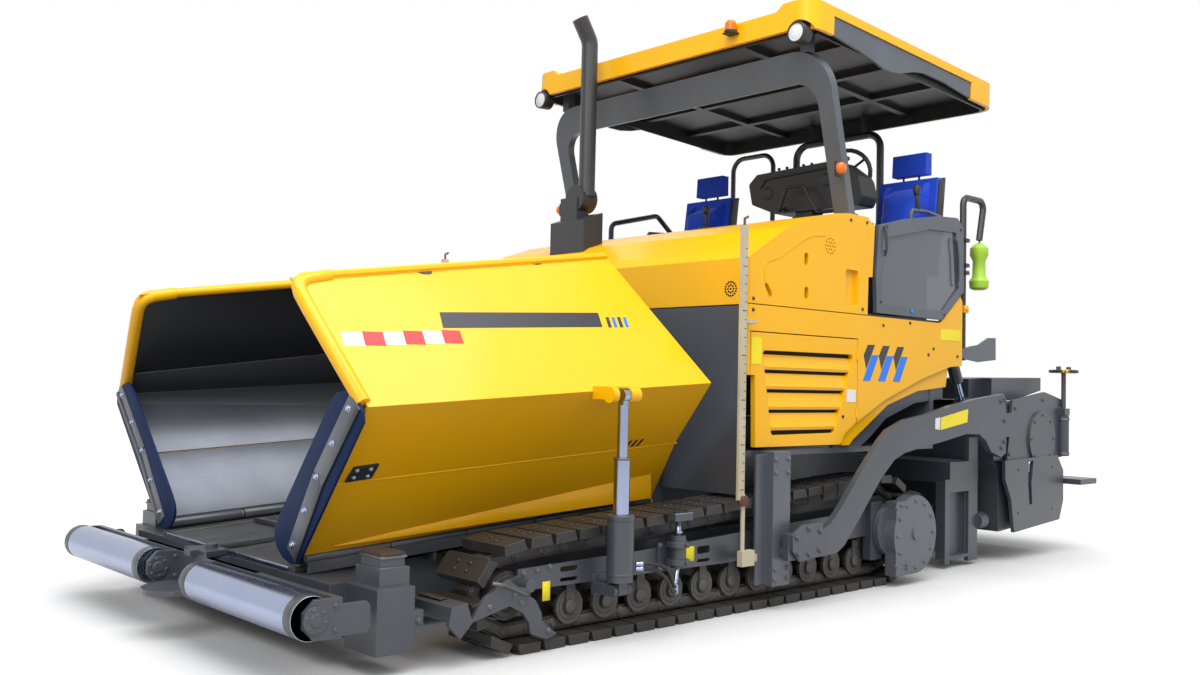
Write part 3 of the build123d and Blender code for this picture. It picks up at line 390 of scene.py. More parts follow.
class Shape:
    """A mesh being built from plates, turned parts and bolts."""

    def __init__(self):
        self.mesh = bmesh.new()
        self.slot = 0

    def skin(self, rings, hollow=False):
        """Faces between rings of points, one ring after another; a hollow part runs back to its first ring."""
        rows = [[self.mesh.verts.new(point) for point in ring] for ring in rings]
        made = []
        for near, far in zip(rows, rows[1:] + rows[:1] if hollow else rows[1:]):
            for i in range(len(near)):
                j = (i + 1) % len(near)
                made.append(self.mesh.faces.new((near[i], near[j], far[j], far[i])))
        if not hollow:
            made.append(self.mesh.faces.new(rows[0][::-1]))
            made.append(self.mesh.faces.new(rows[-1]))
        for face in made:
            face.material_index = self.slot
        return self

    def plate(self, outline, axis, start, end):
        """An outline in the other two axes, in X, Y, Z order, between two places along an axis."""
        def at(place):
            return [{"x": (place, a, b), "y": (a, place, b), "z": (a, b, place)}[axis] for a,
                    b in outline]
        return self.skin((at(start), at(end)))

    def box(self, x0, x1, y0, y1, z0, z1):
        return self.plate(((x0, y0), (x1, y0), (x1, y1), (x0, y1)), "z", z0, z1)

    def turned(self, start, axis, profile, sides=20, phase=0.0, hollow=False):
        """A turned part: pairs of distance along the axis and radius."""
        run = Vector(axis).normalized()
        side = run.orthogonal().normalized()
        other = run.cross(side)
        rings = []
        for along, radius in profile:
            centre = Vector(start) + run * along
            rings.append([centre + radius * (math.cos(turn) * side + math.sin(turn) * other)
                          for turn in (phase + 2 * math.pi * i / sides for i in range(sides))])
        return self.skin(rings, hollow)

    def bolt(self, place, axis, size):
        """Washer and domed hexagon head."""
        self.turned(place, axis, ((0, size * 1.15), (size * 0.18, size * 1.15),
                                  (size * 0.2, size * 1.05)), 16)
        return self.turned(place, axis, ((size * 0.15, size * 0.86), (size * 0.7, size * 0.86),
                                         (size * 0.86, size * 0.62)),
                           6, 0.3)

    def bar(self, points, radius, sides=10):
        """A round bar through a list of points."""
        points = [Vector(point) for point in points]
        rings = []
        side = None
        for i, point in enumerate(points):
            before = points[max(i - 1, 0)]
            after = points[min(i + 1, len(points) - 1)]
            run = (after - before).normalized()
            side = run.orthogonal() if side is None else side - run * side.dot(run)
            side.normalize()
            other = run.cross(side)
            rings.append([point + radius * (math.cos(turn) * side + math.sin(turn) * other)
                          for turn in (2 * math.pi * k / sides for k in range(sides))])
        return self.skin(rings)

    def take(self, other):
        """Joins another shape into this one."""
        holder = bpy.data.meshes.new("holder")
        other.mesh.to_mesh(holder)
        other.mesh.free()
        self.mesh.from_mesh(holder)
        bpy.data.meshes.remove(holder)
        return self

    def moved(self, matrix):
        bmesh.ops.transform(self.mesh, matrix=matrix, verts=self.mesh.verts)
        return self


def make(name, shape, body, slots, sides=(1,), bevel=1.5, smooth=True):
    """Turns a shape into an object that rides on a body, mirrored to each side that is asked for."""
    source = shape.mesh
    whole = bmesh.new()
    mesh = bpy.data.meshes.new(name)
    for side in sides:
        part = source.copy()
        bmesh.ops.transform(part, matrix=Matrix.Diagonal((0.001, 0.001 * side, 0.001, 1)),
                            verts=part.verts)
        holder = bpy.data.meshes.new("part")
        bmesh.ops.recalc_face_normals(part, faces=part.faces)
        part.to_mesh(holder)
        whole.from_mesh(holder)
        part.free()
        bpy.data.meshes.remove(holder)
    source.free()
    whole.to_mesh(mesh)
    whole.free()
    for slot in slots:
        mesh.materials.append(MATERIALS[slot])
    piece = bpy.data.objects.new(name, mesh)
    bpy.context.scene.collection.objects.link(piece)
    if bevel:
        edge = piece.modifiers.new("Edges", "BEVEL")
        edge.width = bevel / 1000
        edge.segments = 2
        edge.limit_method = "ANGLE"
        edge.angle_limit = math.radians(40)
    if smooth:
        soften(piece)
    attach(piece, body)
    return piece


def soft_shading():
    """Geometry nodes that shade faces smooth up to a crease angle."""
    tree = bpy.data.node_groups.new("Soft shading", "GeometryNodeTree")
    tree.interface.new_socket("Geometry", in_out="INPUT", socket_type="NodeSocketGeometry")
    tree.interface.new_socket("Geometry", in_out="OUTPUT", socket_type="NodeSocketGeometry")
    put = tree.nodes.new("NodeGroupInput")
    out = tree.nodes.new("NodeGroupOutput")
    faces = tree.nodes.new("GeometryNodeSetShadeSmooth")
    edges = tree.nodes.new("GeometryNodeSetShadeSmooth")
    edges.domain = "EDGE"
    edges.inputs["Shade Smooth"].default_value = False
    angle = tree.nodes.new("GeometryNodeInputMeshEdgeAngle")
    sharp = tree.nodes.new("FunctionNodeCompare")
    sharp.data_type = "FLOAT"
    sharp.operation = "GREATER_THAN"
    sharp.inputs[1].default_value = math.radians(32)
    tree.links.new(put.outputs[0], faces.inputs["Geometry"])
    tree.links.new(faces.outputs[0], edges.inputs["Geometry"])
    tree.links.new(angle.outputs["Unsigned Angle"], sharp.inputs[0])
    tree.links.new(sharp.outputs[0], edges.inputs["Selection"])
    tree.links.new(edges.outputs[0], out.inputs[0])
    return tree


def soften(piece):
    tree = bpy.data.node_groups.get("Soft shading") or soft_shading()
    piece.modifiers.new("Soft shading", "NODES").node_group = tree


def cushion(piece):
    """Swells a closed cushion under cloth pressure, then smooths it."""
    scene = bpy.context.scene
    bpy.context.view_layer.objects.active = piece
    blocks = piece.modifiers.new("Blocks", "REMESH")
    blocks.mode = "VOXEL"
    blocks.voxel_size = 0.010
    cloth = piece.modifiers.new("Cloth", "CLOTH")
    settings = cloth.settings
    settings.use_pressure = True
    settings.uniform_pressure_force = 4
    settings.effector_weights.gravity = 0
    settings.tension_stiffness = 25
    settings.compression_stiffness = 25
    settings.bending_stiffness = 2
    cloth.point_cache.frame_start = 1
    cloth.point_cache.frame_end = 20
    for number in range(1, 21):
        scene.frame_set(number)
    with bpy.context.temp_override(object=piece, active_object=piece, selected_objects=[piece]):
        bpy.ops.object.modifier_apply(modifier="Edges")
        bpy.ops.object.modifier_apply(modifier="Blocks")
        bpy.ops.object.modifier_apply(modifier="Cloth")
    scene.frame_set(1)
    piece.modifiers.new("Fine", "SUBSURF").render_levels = 1
    soften(piece)
    return piece


def twin(name, build, body, slots, **choices):
    """A piece for each side of the machine, each on that side's body."""
    for side, sign in SIDES:
        make(name + "_" + side, build(), body.format(side), slots, sides=(sign,), **choices)


# ---- tracks ---------------------------------------------------------------------------------------------
IDLER = (2215, 245)                # place and outer radius of the wheels at the ends of the track
SPROCKET = (-640, 330)
SHOES, PIN_DEPTH = 49, 85


def pin_points():
    """The track pins, one after another round the idler and the sprocket."""
    front, rear = IDLER[1] - PIN_DEPTH, SPROCKET[1] - PIN_DEPTH
    axles = IDLER[0] - SPROCKET[0]
    run = math.hypot(axles, rear - front)
    slope = 2 * math.atan2(rear - front, axles)
    front_arc = front * (math.pi - slope)
    pitch = (axles + run + front_arc + rear * (math.pi + slope)) / SHOES
    points = []
    for i in range(SHOES):
        s = i * pitch
        if s < axles:
            points.append((SPROCKET[0] + s, PIN_DEPTH))
            continue
        s -= axles
        if s < front_arc:
            turn = s / front - math.pi / 2
            points.append((IDLER[0] + front * math.cos(turn), IDLER[1] + front * math.sin(turn)))
            continue
        s -= front_arc
        turn = math.pi / 2 - slope
        if s < run:
            points.append((IDLER[0] + front * math.cos(turn) - s * math.cos(slope),
                           IDLER[1] + front * math.sin(turn) + s * math.sin(slope)))
            continue
        turn += (s - run) / rear
        points.append((SPROCKET[0] + rear * math.cos(turn), SPROCKET[1] + rear * math.sin(turn)))
    return points


def link(shape, near, far, y, depth):
    """Side plate of one chain link: round ends on the pins and a narrower waist."""
    run = Vector((far[0] - near[0], far[1] - near[1]))
    length = run.length
    run.normalize()
    outline = []
    for along, out in ((-26, 0), (-18, 19), (0, 27), (20, 22), (length - 20, 22), (length, 27),
                       (length + 18, 19),
                       (length + 26, 0), (length + 18, -19), (length, -27), (length - 20, -20),
                       (20, -20), (0, -27),
                       (-18, -19)):
        outline.append((near[0] + run.x * along + run.y * out,
                        near[1] + run.y * along - run.x * out))
    shape.plate(outline, "y", y, y + depth)


def shoe(shape, near, far):
    """Grouser face of one shoe: a pad with two pairs of bolts."""
    run = Vector((far[0] - near[0], 0, far[1] - near[1]))
    length = run.length
    run.normalize()
    out = Vector((run.z, 0, -run.x))
    start = Vector((near[0], 0, near[1]))
    shape.slot = 0
    for y in (1085, 1170):
        for along in (0.36, 0.64):
            place = start + run * length * along + out * (PIN_DEPTH - 1) + Vector((0, y, 0))
            # A near-black disc round each bolt head: painted shade in the bolt's recess.
            shape.slot = 1
            shape.turned(place, out, ((0, 14), (2, 14)), 12)
            shape.slot = 0
            shape.turned(place, out, ((1, 9), (5, 8)), 6)
    ridge = [start + run * (length - 25) + out * (PIN_DEPTH - 6),
             start + run * (length - 12) + out * (PIN_DEPTH - 6)]
    lip = [(p.x, p.z) for p in (ridge[0], ridge[1], ridge[1] + out * 6, ridge[0] + out * 6)]
    shape.plate(lip, "y", 985, 1270)


class PAVER_OT_tracks(bpy.types.Operator):
    """Chain links, pins, bolts and wheel caps of both tracks"""
    bl_idname = "paver.tracks"
    bl_label = "Tracks"

    def execute(self, context):
        pins = pin_points()
        chain, shoes = Shape(), Shape()
        for i, near in enumerate(pins):
            far = pins[(i + 1) % SHOES]
            link(chain, near, far, 1170, 6 if i % 2 else 10)
            chain.turned((near[0], 1170, near[1]), (0, 1, 0), ((0, 15), (13, 15), (15, 12)), 12)
            shoe(shoes, near, far)
        make("chain_links", chain, "chassis", ["cast_iron"], (1, -1), 1)
        make("shoe_bolts", shoes, "chassis", ["track_rubber", "painted_shade_black"], (1, -1), 1)
        caps = Shape()
        for n in range(11):
            x = 1842 - n * 225.5
            caps.turned((x, 1205, 155), (0, 1, 0), ((0, 34), (5, 34), (9, 24), (10, 10)), 20)
            caps.turned((x, 1196, 155), (0, 1, 0), ((0, 62), (2, 62), (2, 44), (1, 44)), 24)
        caps.turned((IDLER[0], 1205, IDLER[1]), (0, 1, 0), ((0, 96), (6, 92), (7, 70), (3, 64)), 32)
        caps.turned((IDLER[0], 1214, IDLER[1]), (0, 1, 0), ((0, 40), (8, 38), (10, 26)), 24)
        make("wheel_caps", caps, "chassis", ["cast_iron"], (1, -1), 1.5)
        frame_bolts = Shape()
        for x, z in ((2150, 338), (2075, 346), (2000, 352), (2150, 296), (2250, 262)):
            frame_bolts.bolt((x, 1235 if x < 2200 else 1306, z), (0, 1, 0), 13)
        for x, z in ((2060, 92), (2215, 230), (2385, 232), (1130, 392), (1130, 282), (1312, 392),
                     (1312, 282)):
            frame_bolts.bolt((x, 1306 if x > 1400 else 1251, z), (0, 1, 0), 12)
        for x, z in ((-585, 125), (-585, 470), (-700, 105), (-640, 480)):
            frame_bolts.bolt((x, 1375, z), (0, 1, 0), 12)
        for n in range(12):
            turn = n * math.pi / 6
            frame_bolts.bolt((-800 + 200 * math.cos(turn), 1375, 300 + 200 * math.sin(turn)),
                             (0, 1, 0), 11)
        make("frame_bolts", frame_bolts, "chassis", ["grey_paint"], (1, -1), 0)
        extras = Shape()
        extras.bar([(2380, 1312, 330), (2320, 1330, 318), (2210, 1330, 270), (2180, 1312, 262)], 9)
        extras.slot = 1
        extras.plate(((1995, 205), (2040, 205), (2040, 290), (1995, 290)), "y", 1235, 1236.5)
        extras.plate(((1045, 292), (1110, 292), (1110, 366), (1045, 366)), "y", 1235, 1236.5)
        make("frame_handle", extras, "chassis", ["worn_steel", "sticker_yellow"], (1, -1), 0.5)
        return {"FINISHED"}


# ---- hopper and wings -----------------------------------------------------------------------------------
WING_PLACE = Matrix.Translation((840, 720, 532)) @ Matrix.Rotation(math.radians(3.6), 4, "Y")
WING_LINE = ((0, 0), (240, 335), (540, 660), (-33.24, 1340))


def on_wing(panel, inside=False):
    """Axes of a panel of the wing: x along the hinge, y up the panel, z out of its face."""
    (a, b), (c, d) = WING_LINE[panel:panel + 2]
    run = Vector((0, c - a, d - b)).normalized()
    out = Vector((0, run.z, -run.y))
    start = Vector((0, a, b))
    if inside:
        out.negate()
        start += out * 14
    turn = Matrix((Vector((1, 0, 0)), run, out)).transposed().to_4x4()
    return WING_PLACE @ Matrix.Translation(start) @ turn


def wing_marks():
    """Bar, stripes, reflecting tape and holes on the outside of the upper panel, the holes drawn as flat black
    ovals of painted shade, and the latch plate.
    """
    shape = Shape()
    shape.slot = 0
    shape.plate(((600, 388), (1548, 398), (1524, 490), (572, 482)), "z", 0, 1.2)
    for n in range(4):
        x = 560 - n * 40
        shape.slot = 1 if n % 2 else 0
        shape.plate(((x - 22, 384), (x, 384), (x - 20, 452), (x - 42, 452)), "z", 0, 1.2)
    for n in range(6):
        x = 2070 - n * 98
        shape.slot = 2 if n % 2 else 3
        shape.plate(((x - 98, 306), (x, 312), (x - 14, 386), (x - 112, 380)), "z", 0, 1.2)
    shape.slot = 0
    # The two holes are flat black ovals: painted shade.
    for x, s, half, tall in ((1487, 736, 40, 17), (787, 822, 40, 17)):
        oval = [(x + half * math.cos(i * math.pi / 10),
                 s + tall * math.sin(i * math.pi / 10)) for i in range(20)]
        shape.plate(oval, "z", 0, 1.0)
    shape.moved(on_wing(2))
    latch = Shape()
    latch.plate(((1911, 20), (2030, 14), (2020, 98), (1905, 104)), "z", 0, 9)
    for x in (1935, 2000):
        for s in (38, 80):
            latch.slot = 4
            latch.bolt((x, s, 9), (0, 0, 1), 9)
    latch.slot = 0
    for x in (412, 372, 332):
        latch.plate(((x, 12), (x + 18, 12), (x + 6, 62), (x - 12, 62)), "z", 0, 1.0)
    return shape.take(latch.moved(on_wing(1)))


def wing_lining():
    """Wear plates inside the wing, with slanted top edges, on dark sheets that show in the seams and at the top as
    painted shade.
    """
    steel = Shape()
    # Slot 2 is a near-black sheet: painted shade where it shows between and above the plates.
    steel.slot = 2
    steel.plate(((16, 4), (2096, 4), (2090, 412), (40, 412)), "z", 0, 1.5)
    steel.moved(on_wing(0, True))
    seams = Shape()
    seams.slot = 2
    seams.plate(((44, 0), (2092, 0), (2090, 442), (80, 442)), "z", 0, 1.5)
    steel.take(seams.moved(on_wing(1, True)))
    seams = Shape()
    seams.slot = 2
    seams.plate(((90, 0), (2084, 0), (2150, 664), (280, 860)), "z", 0, 1.5)
    steel.take(seams.moved(on_wing(2, True)))
    low = Shape()
    low.plate(((20, 26), (2090, 26), (2084, 411), (46, 411)), "z", 0, 4)
    steel.take(low.moved(on_wing(0, True)))
    high = Shape()
    high.plate(((50, 2), (2086, 2), (2084, 352), (76, 160)), "z", 0, 4)
    steel.take(high.moved(on_wing(1, True)))
    middle = Shape()
    middle.slot = 1
    middle.plate(((78, 163), (2084, 355), (2082, 440), (88, 440)), "z", 0, 3)
    steel.take(middle.moved(on_wing(1, True)))
    upper = Shape()
    upper.slot = 1
    upper.plate(((92, 2), (2080, 2), (2072, 158), (150, 320)), "z", 0, 6)
    upper.slot = 2
    upper.plate(((152, 322), (2072, 160), (2150, 664), (280, 858)), "z", 0, 2)
    return steel.take(upper.moved(on_wing(2, True)))


def wing_sill():
    """Upright sill plate along the foot of the wing, which narrows towards the front, and the weld on the fold."""
    rings = []
    for x, up in ((112, 207), (640, 166), (1170, 122), (1700, 80), (1960, 56)):
        out, top = up * 0.5824, up * 0.8129
        rings.append([Vector((x, out * 0.55, 40)), Vector((x, out + 1, 40)),
                      Vector((x, out + 1, top)),
                      Vector((x, out - 3, top))])
    shape = Shape()
    shape.skin(rings)
    shape.bar([(30, 240, 335), (2100, 240, 335)], 3.5, 8)
    return shape.moved(WING_PLACE)


def flap_sheet():
    """Thick rubber flap with rounded ends."""
    shape = Shape()
    shape.plate(((13, -14), (560, 603), (556, 640), (530, 676), (470, 712), (420, 722), (372, 716),
                 (330, 694),
                 (-150, 168), (-184, 118), (-190, 80), (-172, 40), (-120, 0), (-50, -20)), "x",
                2111, 2125)
    return shape.moved(WING_PLACE)


def wing_lip():
    """Wide rounded lip down the front edge, and the slimmer one along the top."""
    shape = Shape()
    shape.bar([(2095, 24, -8), (2144, 520, -8), (2150, 600, -8), (2144, 640, -8), (2122, 668, -8),
               (2085, 684, -8),
               (1980, 704, -8)], 31, 16)
    shape.bar([(2060, 694, -8), (1980, 706, -8), (272, 889, -8)], 24, 14)
    return shape.moved(on_wing(2))


def clamp_strip():
    """Steel strip that clamps the flap to the wing's front edge, with five bolts."""
    shape = Shape()
    for (a, b), (c, d) in (((0, 0), (240, 335)), ((240, 335), (540, 660))):
        run = Vector((c - a, d - b)).normalized()
        inward = Vector((-run.y, run.x))
        for slot, near, far, depth in ((0, 18, 84, 5), (1, -8, 18, 9)):
            shape.slot = slot
            corners = [Vector((a, b)) + inward * near, Vector((c, d)) + inward * near,
                       Vector((c, d)) + inward * far, Vector((a, b)) + inward * far]
            shape.plate([tuple(p) for p in corners], "x", 2124, 2124 + depth)
    shape.slot = 2
    for share in (0.05, 0.28, 0.5, 0.72, 0.94):
        low, high = ((0, 0), (240, 335)) if share < 0.5 else ((240, 335), (540, 660))
        part = share * 2 if share < 0.5 else share * 2 - 1
        y = low[0] + (high[0] - low[0]) * part
        z = low[1] + (high[1] - low[1]) * part
        shape.bolt((2129, y - 40, z + 34), (1, 0, 0), 13)
    return shape.moved(WING_PLACE)


def hinge_sleeves():
    """Sleeves along the hinge tube, and the pins between them."""
    shape = Shape()
    for n in range(5):
        x = 14 + n * 418
        shape.turned((x, 0, 0), (1, 0, 0), ((0, 27), (402, 27)), 20)
        shape.slot = 1
        shape.turned((x + 402, 0, 0), (1, 0, 0), ((0, 24), (12, 24)), 16)
        shape.slot = 0
    return shape.moved(WING_PLACE)


class PAVER_OT_hopper(bpy.types.Operator):
    """Wear plates, markings, clamp strips and hinge sleeves of the hopper wings, and its floor"""
    bl_idname = "paver.hopper"
    bl_label = "Hopper"

    def execute(self, context):
        twin("wing_marks", wing_marks, "wing_{}",
             ["black_marking_and_hole_shade", "marking_blue", "marking_red", "marking_white", "polished_steel"],
             bevel=0)
        twin("wing_lining", wing_lining, "wing_{}", ["wear_plate", "dark_plate", "painted_shade_sheet"],
             bevel=1)
        twin("clamp_strip", clamp_strip, "wing_{}", ["grey_paint", "black_paint", "polished_steel"],
             bevel=0.8)
        twin("wing_lip", wing_lip, "wing_{}", ["yellow_paint"], bevel=3)
        twin("wing_sill", wing_sill, "wing_{}", ["yellow_paint"], bevel=1)
        twin("flap_sheet", flap_sheet, "wing_{}", ["navy_rubber"], bevel=4)
        for side, _ in SIDES:
            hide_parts("wing_flap_" + side)
        twin("hinge_sleeves", hinge_sleeves, "wing_{}", ["frame_paint", "black_plastic"], bevel=1)
        floor = Shape()
        front, front_top, rear, rear_top = 2950, 368, 840, 500     # the hopper floor falls to the front
        fall = (rear_top - front_top) / (front - rear)
        for x0, x1 in ((2390, 2940), (1840, 2384), (1290, 1834), (850, 1284)):
            z0, z1 = front_top + (front - x0) * fall, front_top + (front - x1) * fall
            strip = ((x0, z0 + 0.5), (x1, z1 + 0.5), (x1, z1 + 5), (x0, z0 + 5))
            for low, high in ((584, 690), (-50, 50)):
                floor.plate(strip, "y", low, high)
        floor.slot = 1
        floor.box(2948, 2956, 40, 640, 348, 366)
        make("floor_plates", floor, "chassis", ["worn_steel", "polished_steel"], (1, -1), 1)
        return {"FINISHED"}


# ---- front beam and push rollers ------------------------------------------------------------------------


class PAVER_OT_front(bpy.types.Operator):
    """Caps and bolts of the push rollers, and the buffers on the front beam"""
    bl_idname = "paver.front"
    bl_label = "Front"

    def execute(self, context):
        def roller_ends():
            shape = Shape()
            for y, way in ((1240, 1), (240, -1)):
                shape.turned((3170, y - way * 60, 272), (0, way, 0),
                             ((0, 85.6), (58, 85.6), (60, 83)), 48)
                shape.slot = 1
                shape.turned((3170, y, 272), (0, way, 0), ((0, 40), (5, 40), (6, 34)), 24)
                shape.slot = 0
            return shape
        twin("roller_ends", roller_ends, "push_roller_{}", ["black_paint", "cast_iron"], bevel=1)
        ears = Shape()
        for y, way in ((1272, 1), (205, -1)):
            ears.turned((3170, y, 272), (0, way, 0),
                        ((0, 52), (8, 52), (9, 46), (9, 26), (14, 24), (15, 16)), 28)
            for n in range(6):
                turn = n * math.pi / 3 + 0.3
                ears.bolt((3170 + 39 * math.cos(turn), y + way * 8, 272 + 39 * math.sin(turn)),
                          (0, way, 0), 6)
            for z in (225, 315):
                ears.bolt((3085, y, z), (0, way, 0), 10)
        ears.slot = 1
        ears.plate(((3058, -600), (3080, -600), (3080, 600), (3058, 600)), "z", 345, 346)
        make("roller_hubs", ears, "push_beam", ["frame_paint", "rust_red"], (1, -1), 0)
        beam = Shape()
        beam.slot = 1
        for z in (412, 456):
            beam.plate(((2728, 1038), (2852, 1038), (2852, 1202), (2728, 1202)), "z", z, z + 10)
        beam.slot = 2
        beam.plate(((2736, 1046), (2756, 1034), (2826, 1034), (2846, 1046), (2846, 1194),
                    (2826, 1206), (2756, 1206),
                    (2736, 1194)), "z", 466, 480)
        beam.slot = 0
        beam.bolt((2689, 1238, 202), (0, 1, 0), 15)
        beam.bolt((2950, 960, 290), (1, 0, 0), 13)
        beam.bolt((2960, 930, 250), (1, 0, 0), 13)
        beam.slot = 1
        beam.plate(((2500, 1010), (2500, 1180), (2548, 1180), (2548, 1010)), "z", 262, 264)
        make("front_buffers", beam, "chassis", ["frame_paint", "worn_steel", "saddle_rubber"],
             (1, -1), 3)
        return {"FINISHED"}


# ---- wing cylinders, hoses ------------------------------------------------------------------------------


def hose(name, points, radius, side, sign, moving):
    """A hydraulic hose along a smooth route, which goes back into the machine at its far end."""
    curve = bpy.data.curves.new(name, "CURVE")
    curve.dimensions = "3D"
    spline = curve.splines.new("NURBS")
    spline.points.add(len(points) - 1)
    for knot, (x, y, z) in zip(spline.points, points):
        knot.co = (x / 1000, y * sign / 1000, z / 1000, 1)
    spline.order_u = 3
    spline.use_endpoint_u = True
    spline.resolution_u = 12
    route = bpy.data.objects.new(name + "_route", curve)
    bpy.context.scene.collection.objects.link(route)
    line = bpy.data.meshes.new_from_object(route)
    curve.bevel_depth = radius / 1000
    curve.bevel_resolution = 3
    curve.use_fill_caps = True
    mesh = bpy.data.meshes.new_from_object(route)
    mesh.materials.clear()
    mesh.materials.append(MATERIALS["hose_rubber"])
    bpy.data.objects.remove(route)
    piece = bpy.data.objects.new(name + "_" + side, mesh)
    bpy.context.scene.collection.objects.link(piece)
    soften(piece)
    if moving:
        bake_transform(piece)
    else:
        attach(piece, "chassis")


HOSES = {
    "upper_hose": [(1602, 1419, 352), (1560, 1440, 352), (1470, 1450, 330), (1400, 1420, 250),
                   (1345, 1380, 214),
                   (1300, 1345, 206)],
    "lower_hose": [(1602, 1419, 330), (1560, 1440, 330), (1480, 1452, 290), (1410, 1428, 215),
                   (1350, 1385, 186),
                   (1302, 1348, 184)],
}


class PAVER_OT_cylinders(bpy.types.Operator):
    """Glands, fittings and hoses of the wing cylinders"""
    bl_idname = "paver.cylinders"
    bl_label = "Wing cylinders"

    def execute(self, context):
        def barrel():
            shape = Shape()
            shape.turned((1686, 1360, 548), (0, 0, 1),
                         ((0, 61), (3, 64), (24, 64), (28, 60), (28.5, 39), (26, 39),
                                                        (26, 61)), 32, hollow=True)
            shape.turned((1686, 1360, 302), (0, 0, 1), ((0, 61), (0, 64), (10, 64), (12, 61)), 32,
                         hollow=True)
            shape.slot = 1
            for z in (330, 352):
                shape.turned((1655, 1392, z), (-1, 0.5, 0),
                             ((28, 10), (48, 10), (50, 12), (62, 12), (64, 9)), 16)
            return shape
        twin("barrel_fittings", barrel, "wing_barrel_{}", ["frame_paint", "polished_steel"],
             bevel=1)

        def gland():
            shape = Shape()
            shape.turned((1686, 1360, 822), (0, 0, 1),
                         ((0, 36), (1, 39), (11, 39), (14, 37), (14.5, 26.5), (12, 26.5),
                                                        (12, 36)), 28, hollow=True)
            return shape
        twin("sleeve_gland", gland, "wing_sleeve_{}", ["worn_steel"], bevel=1)
        socket = Shape()
        socket.bolt((1235, 1362, 312), (0, 1, 0), 9)
        socket.bolt((1235, 1362, 398), (0, 1, 0), 9)
        socket.slot = 1
        socket.bar([(1304, 1350, 195), (1285, 1332, 195)], 16)
        socket.bar([(1300, 1349, 206), (1293, 1339, 206)], 14)
        socket.bar([(1302, 1352, 184), (1293, 1340, 184)], 14)
        socket.bar([(1287, 1334, 196), (1262, 1312, 208), (1243, 1300, 240), (1236, 1300, 290)], 10)
        socket.turned((1235, 1300, 452), (0, 0, 1), ((0, 22), (10, 22), (12, 15), (58, 12)), 18)
        socket.box(1172, 1298, 1284, 1340, 548, 552)
        make("socket_fittings", socket, "chassis", ["frame_paint", "polished_steel"], (1, -1), 1)
        for side, sign in SIDES:
            for name, points in HOSES.items():
                hose(name, points, 9, side, sign, True)
        return {"FINISHED"}


# ---- body panels ----------------------------------------------------------------------------------------


def door_lining():
    """Dark sheet behind the louvres of the engine door, painted shade in the slots between them, and the blank
    plates on its face.
    """
    shape = Shape()
    shape.plate(((566, 1380), (-306, 1384), (-120, 906), (480, 900)), "y", 1224, 1229)
    shape.slot = 1
    shape.plate(((-226, 1169), (-320, 1164), (-318, 1092), (-224, 1096)), "y", 1260, 1261.3)
    shape.slot = 2
    shape.plate(((649, 1436), (565, 1434), (565, 1290), (649, 1292)), "y", 1260, 1261.3)
    return shape


class PAVER_OT_body(bpy.types.Operator):
    """Stripes, blank plates, seams and bolts on the yellow panels"""
    bl_idname = "paver.body"
    bl_label = "Body"

    def execute(self, context):
        marks = Shape()
        for n in range(3):
            x = -437 - n * 161
            marks.slot = 0
            marks.plate(((x, 1436), (x - 76, 1438), (x + 14, 1291), (x + 42, 1372)), "y", 1260,
                        1261)
            marks.slot = 1
            marks.plate(((x - 44, 1376), (x - 118, 1378), (x - 28, 1222), (x + 50, 1221)), "y",
                        1260, 1261.3)
        marks.slot = 2
        marks.plate(((-1267, 1571), (-1522, 1574), (-1522, 1500), (-1267, 1500)), "y", 1260, 1261.3)
        make("body_marks", marks, "chassis",
             ["black_marking_and_hole_shade", "marking_blue", "sticker_yellow"], (1, -1), 0)
        bolts = Shape()
        for x, z in ((-248, 2161), (-414, 2165), (-377, 1644), (640, 1640), (-1120, 1400),
                     (-1480, 1400),
                     (-900, 1590), (640, 1580), (-1180, 1440), (-190, 1010), (-600, 1560)):
            bolts.bolt((x, 1260, z), (0, 1, 0), 9)
        make("panel_bolts", bolts, "chassis", ["black_paint"], (1, -1), 0)
        lip = Shape()
        lip.bar([(545, 1261, 1735), (556, 1261, 1800), (530, 1261, 1845), (418, 1261, 1880),
                 (218, 1261, 1995),
                 (120, 1261, 2030), (7, 1261, 2042)], 2.2, 6)
        make("panel_crease", lip, "chassis", ["yellow_paint"], (1, -1), 0)
        # Near-black discs: painted shade in the vent holes.
        front = Shape()
        for side in (-1, 1):
            for n in range(25):
                ring, step = (0, 0) if n == 0 else (20, n) if n < 9 else (38, n / 2)
                turn = step * math.pi / 4
                front.turned((672, side * 1130 + ring * math.cos(turn),
                              1694 + ring * math.sin(turn)), (1, 0, 0),
                             ((0, 6), (1.5, 6)), 8)
        make("hood_vents", front, "chassis", ["painted_shade_black"], (1,), 0)
        # Near-black strips: painted shade in the gaps between the front panels.
        seam = Shape()
        seam.box(652, 676, -1226, 1226, 1604, 1609)
        seam.box(676, 682, -1225, 1225, 1380, 1384)
        make("front_seams", seam, "chassis", ["painted_shade_black"], (1,), 0)
        twin("door_lining", door_lining, "engine_door_{}",
             ["painted_shade_black", "marking_white", "sticker_yellow"], bevel=0)
        windows = Shape()
        windows.bar([(-588, 1275, 2160), (-590, 1284, 2100), (-592, 1284, 2010),
                     (-592, 1272, 1980)], 8)
        windows.bar([(-1407, 1270, 2180), (-1420, 1284, 2150), (-1440, 1284, 2060),
                     (-1450, 1284, 1900),
                     (-1440, 1270, 1860)], 8)
        for x, z in ((-588, 2155), (-620, 2165), (-591, 2010), (-560, 1700), (-1300, 1662),
                     (-1500, 2240)):
            windows.bolt((x, 1268, z), (0, 1, 0), 9)
        windows.slot = 1
        windows.turned((-907, 1268, 1664), (0, 1, 0), ((0, 15), (4, 15), (6, 10)), 16)
        windows.slot = 2
        windows.plate(((-560, 2118), (-1108, 2222), (-1450, 2238), (-1455, 2225), (-1108, 2207),
                       (-562, 2100)),
                      "y", 1252, 1266)
        make("window_hardware", windows, "chassis", ["black_paint", "marking_blue", "grey_paint"],
             (1, -1), 1)
        return {"FINISHED"}


# ---- operator's station ---------------------------------------------------------------------------------
SEATS = ((-1290, 880), (-1040, -723))


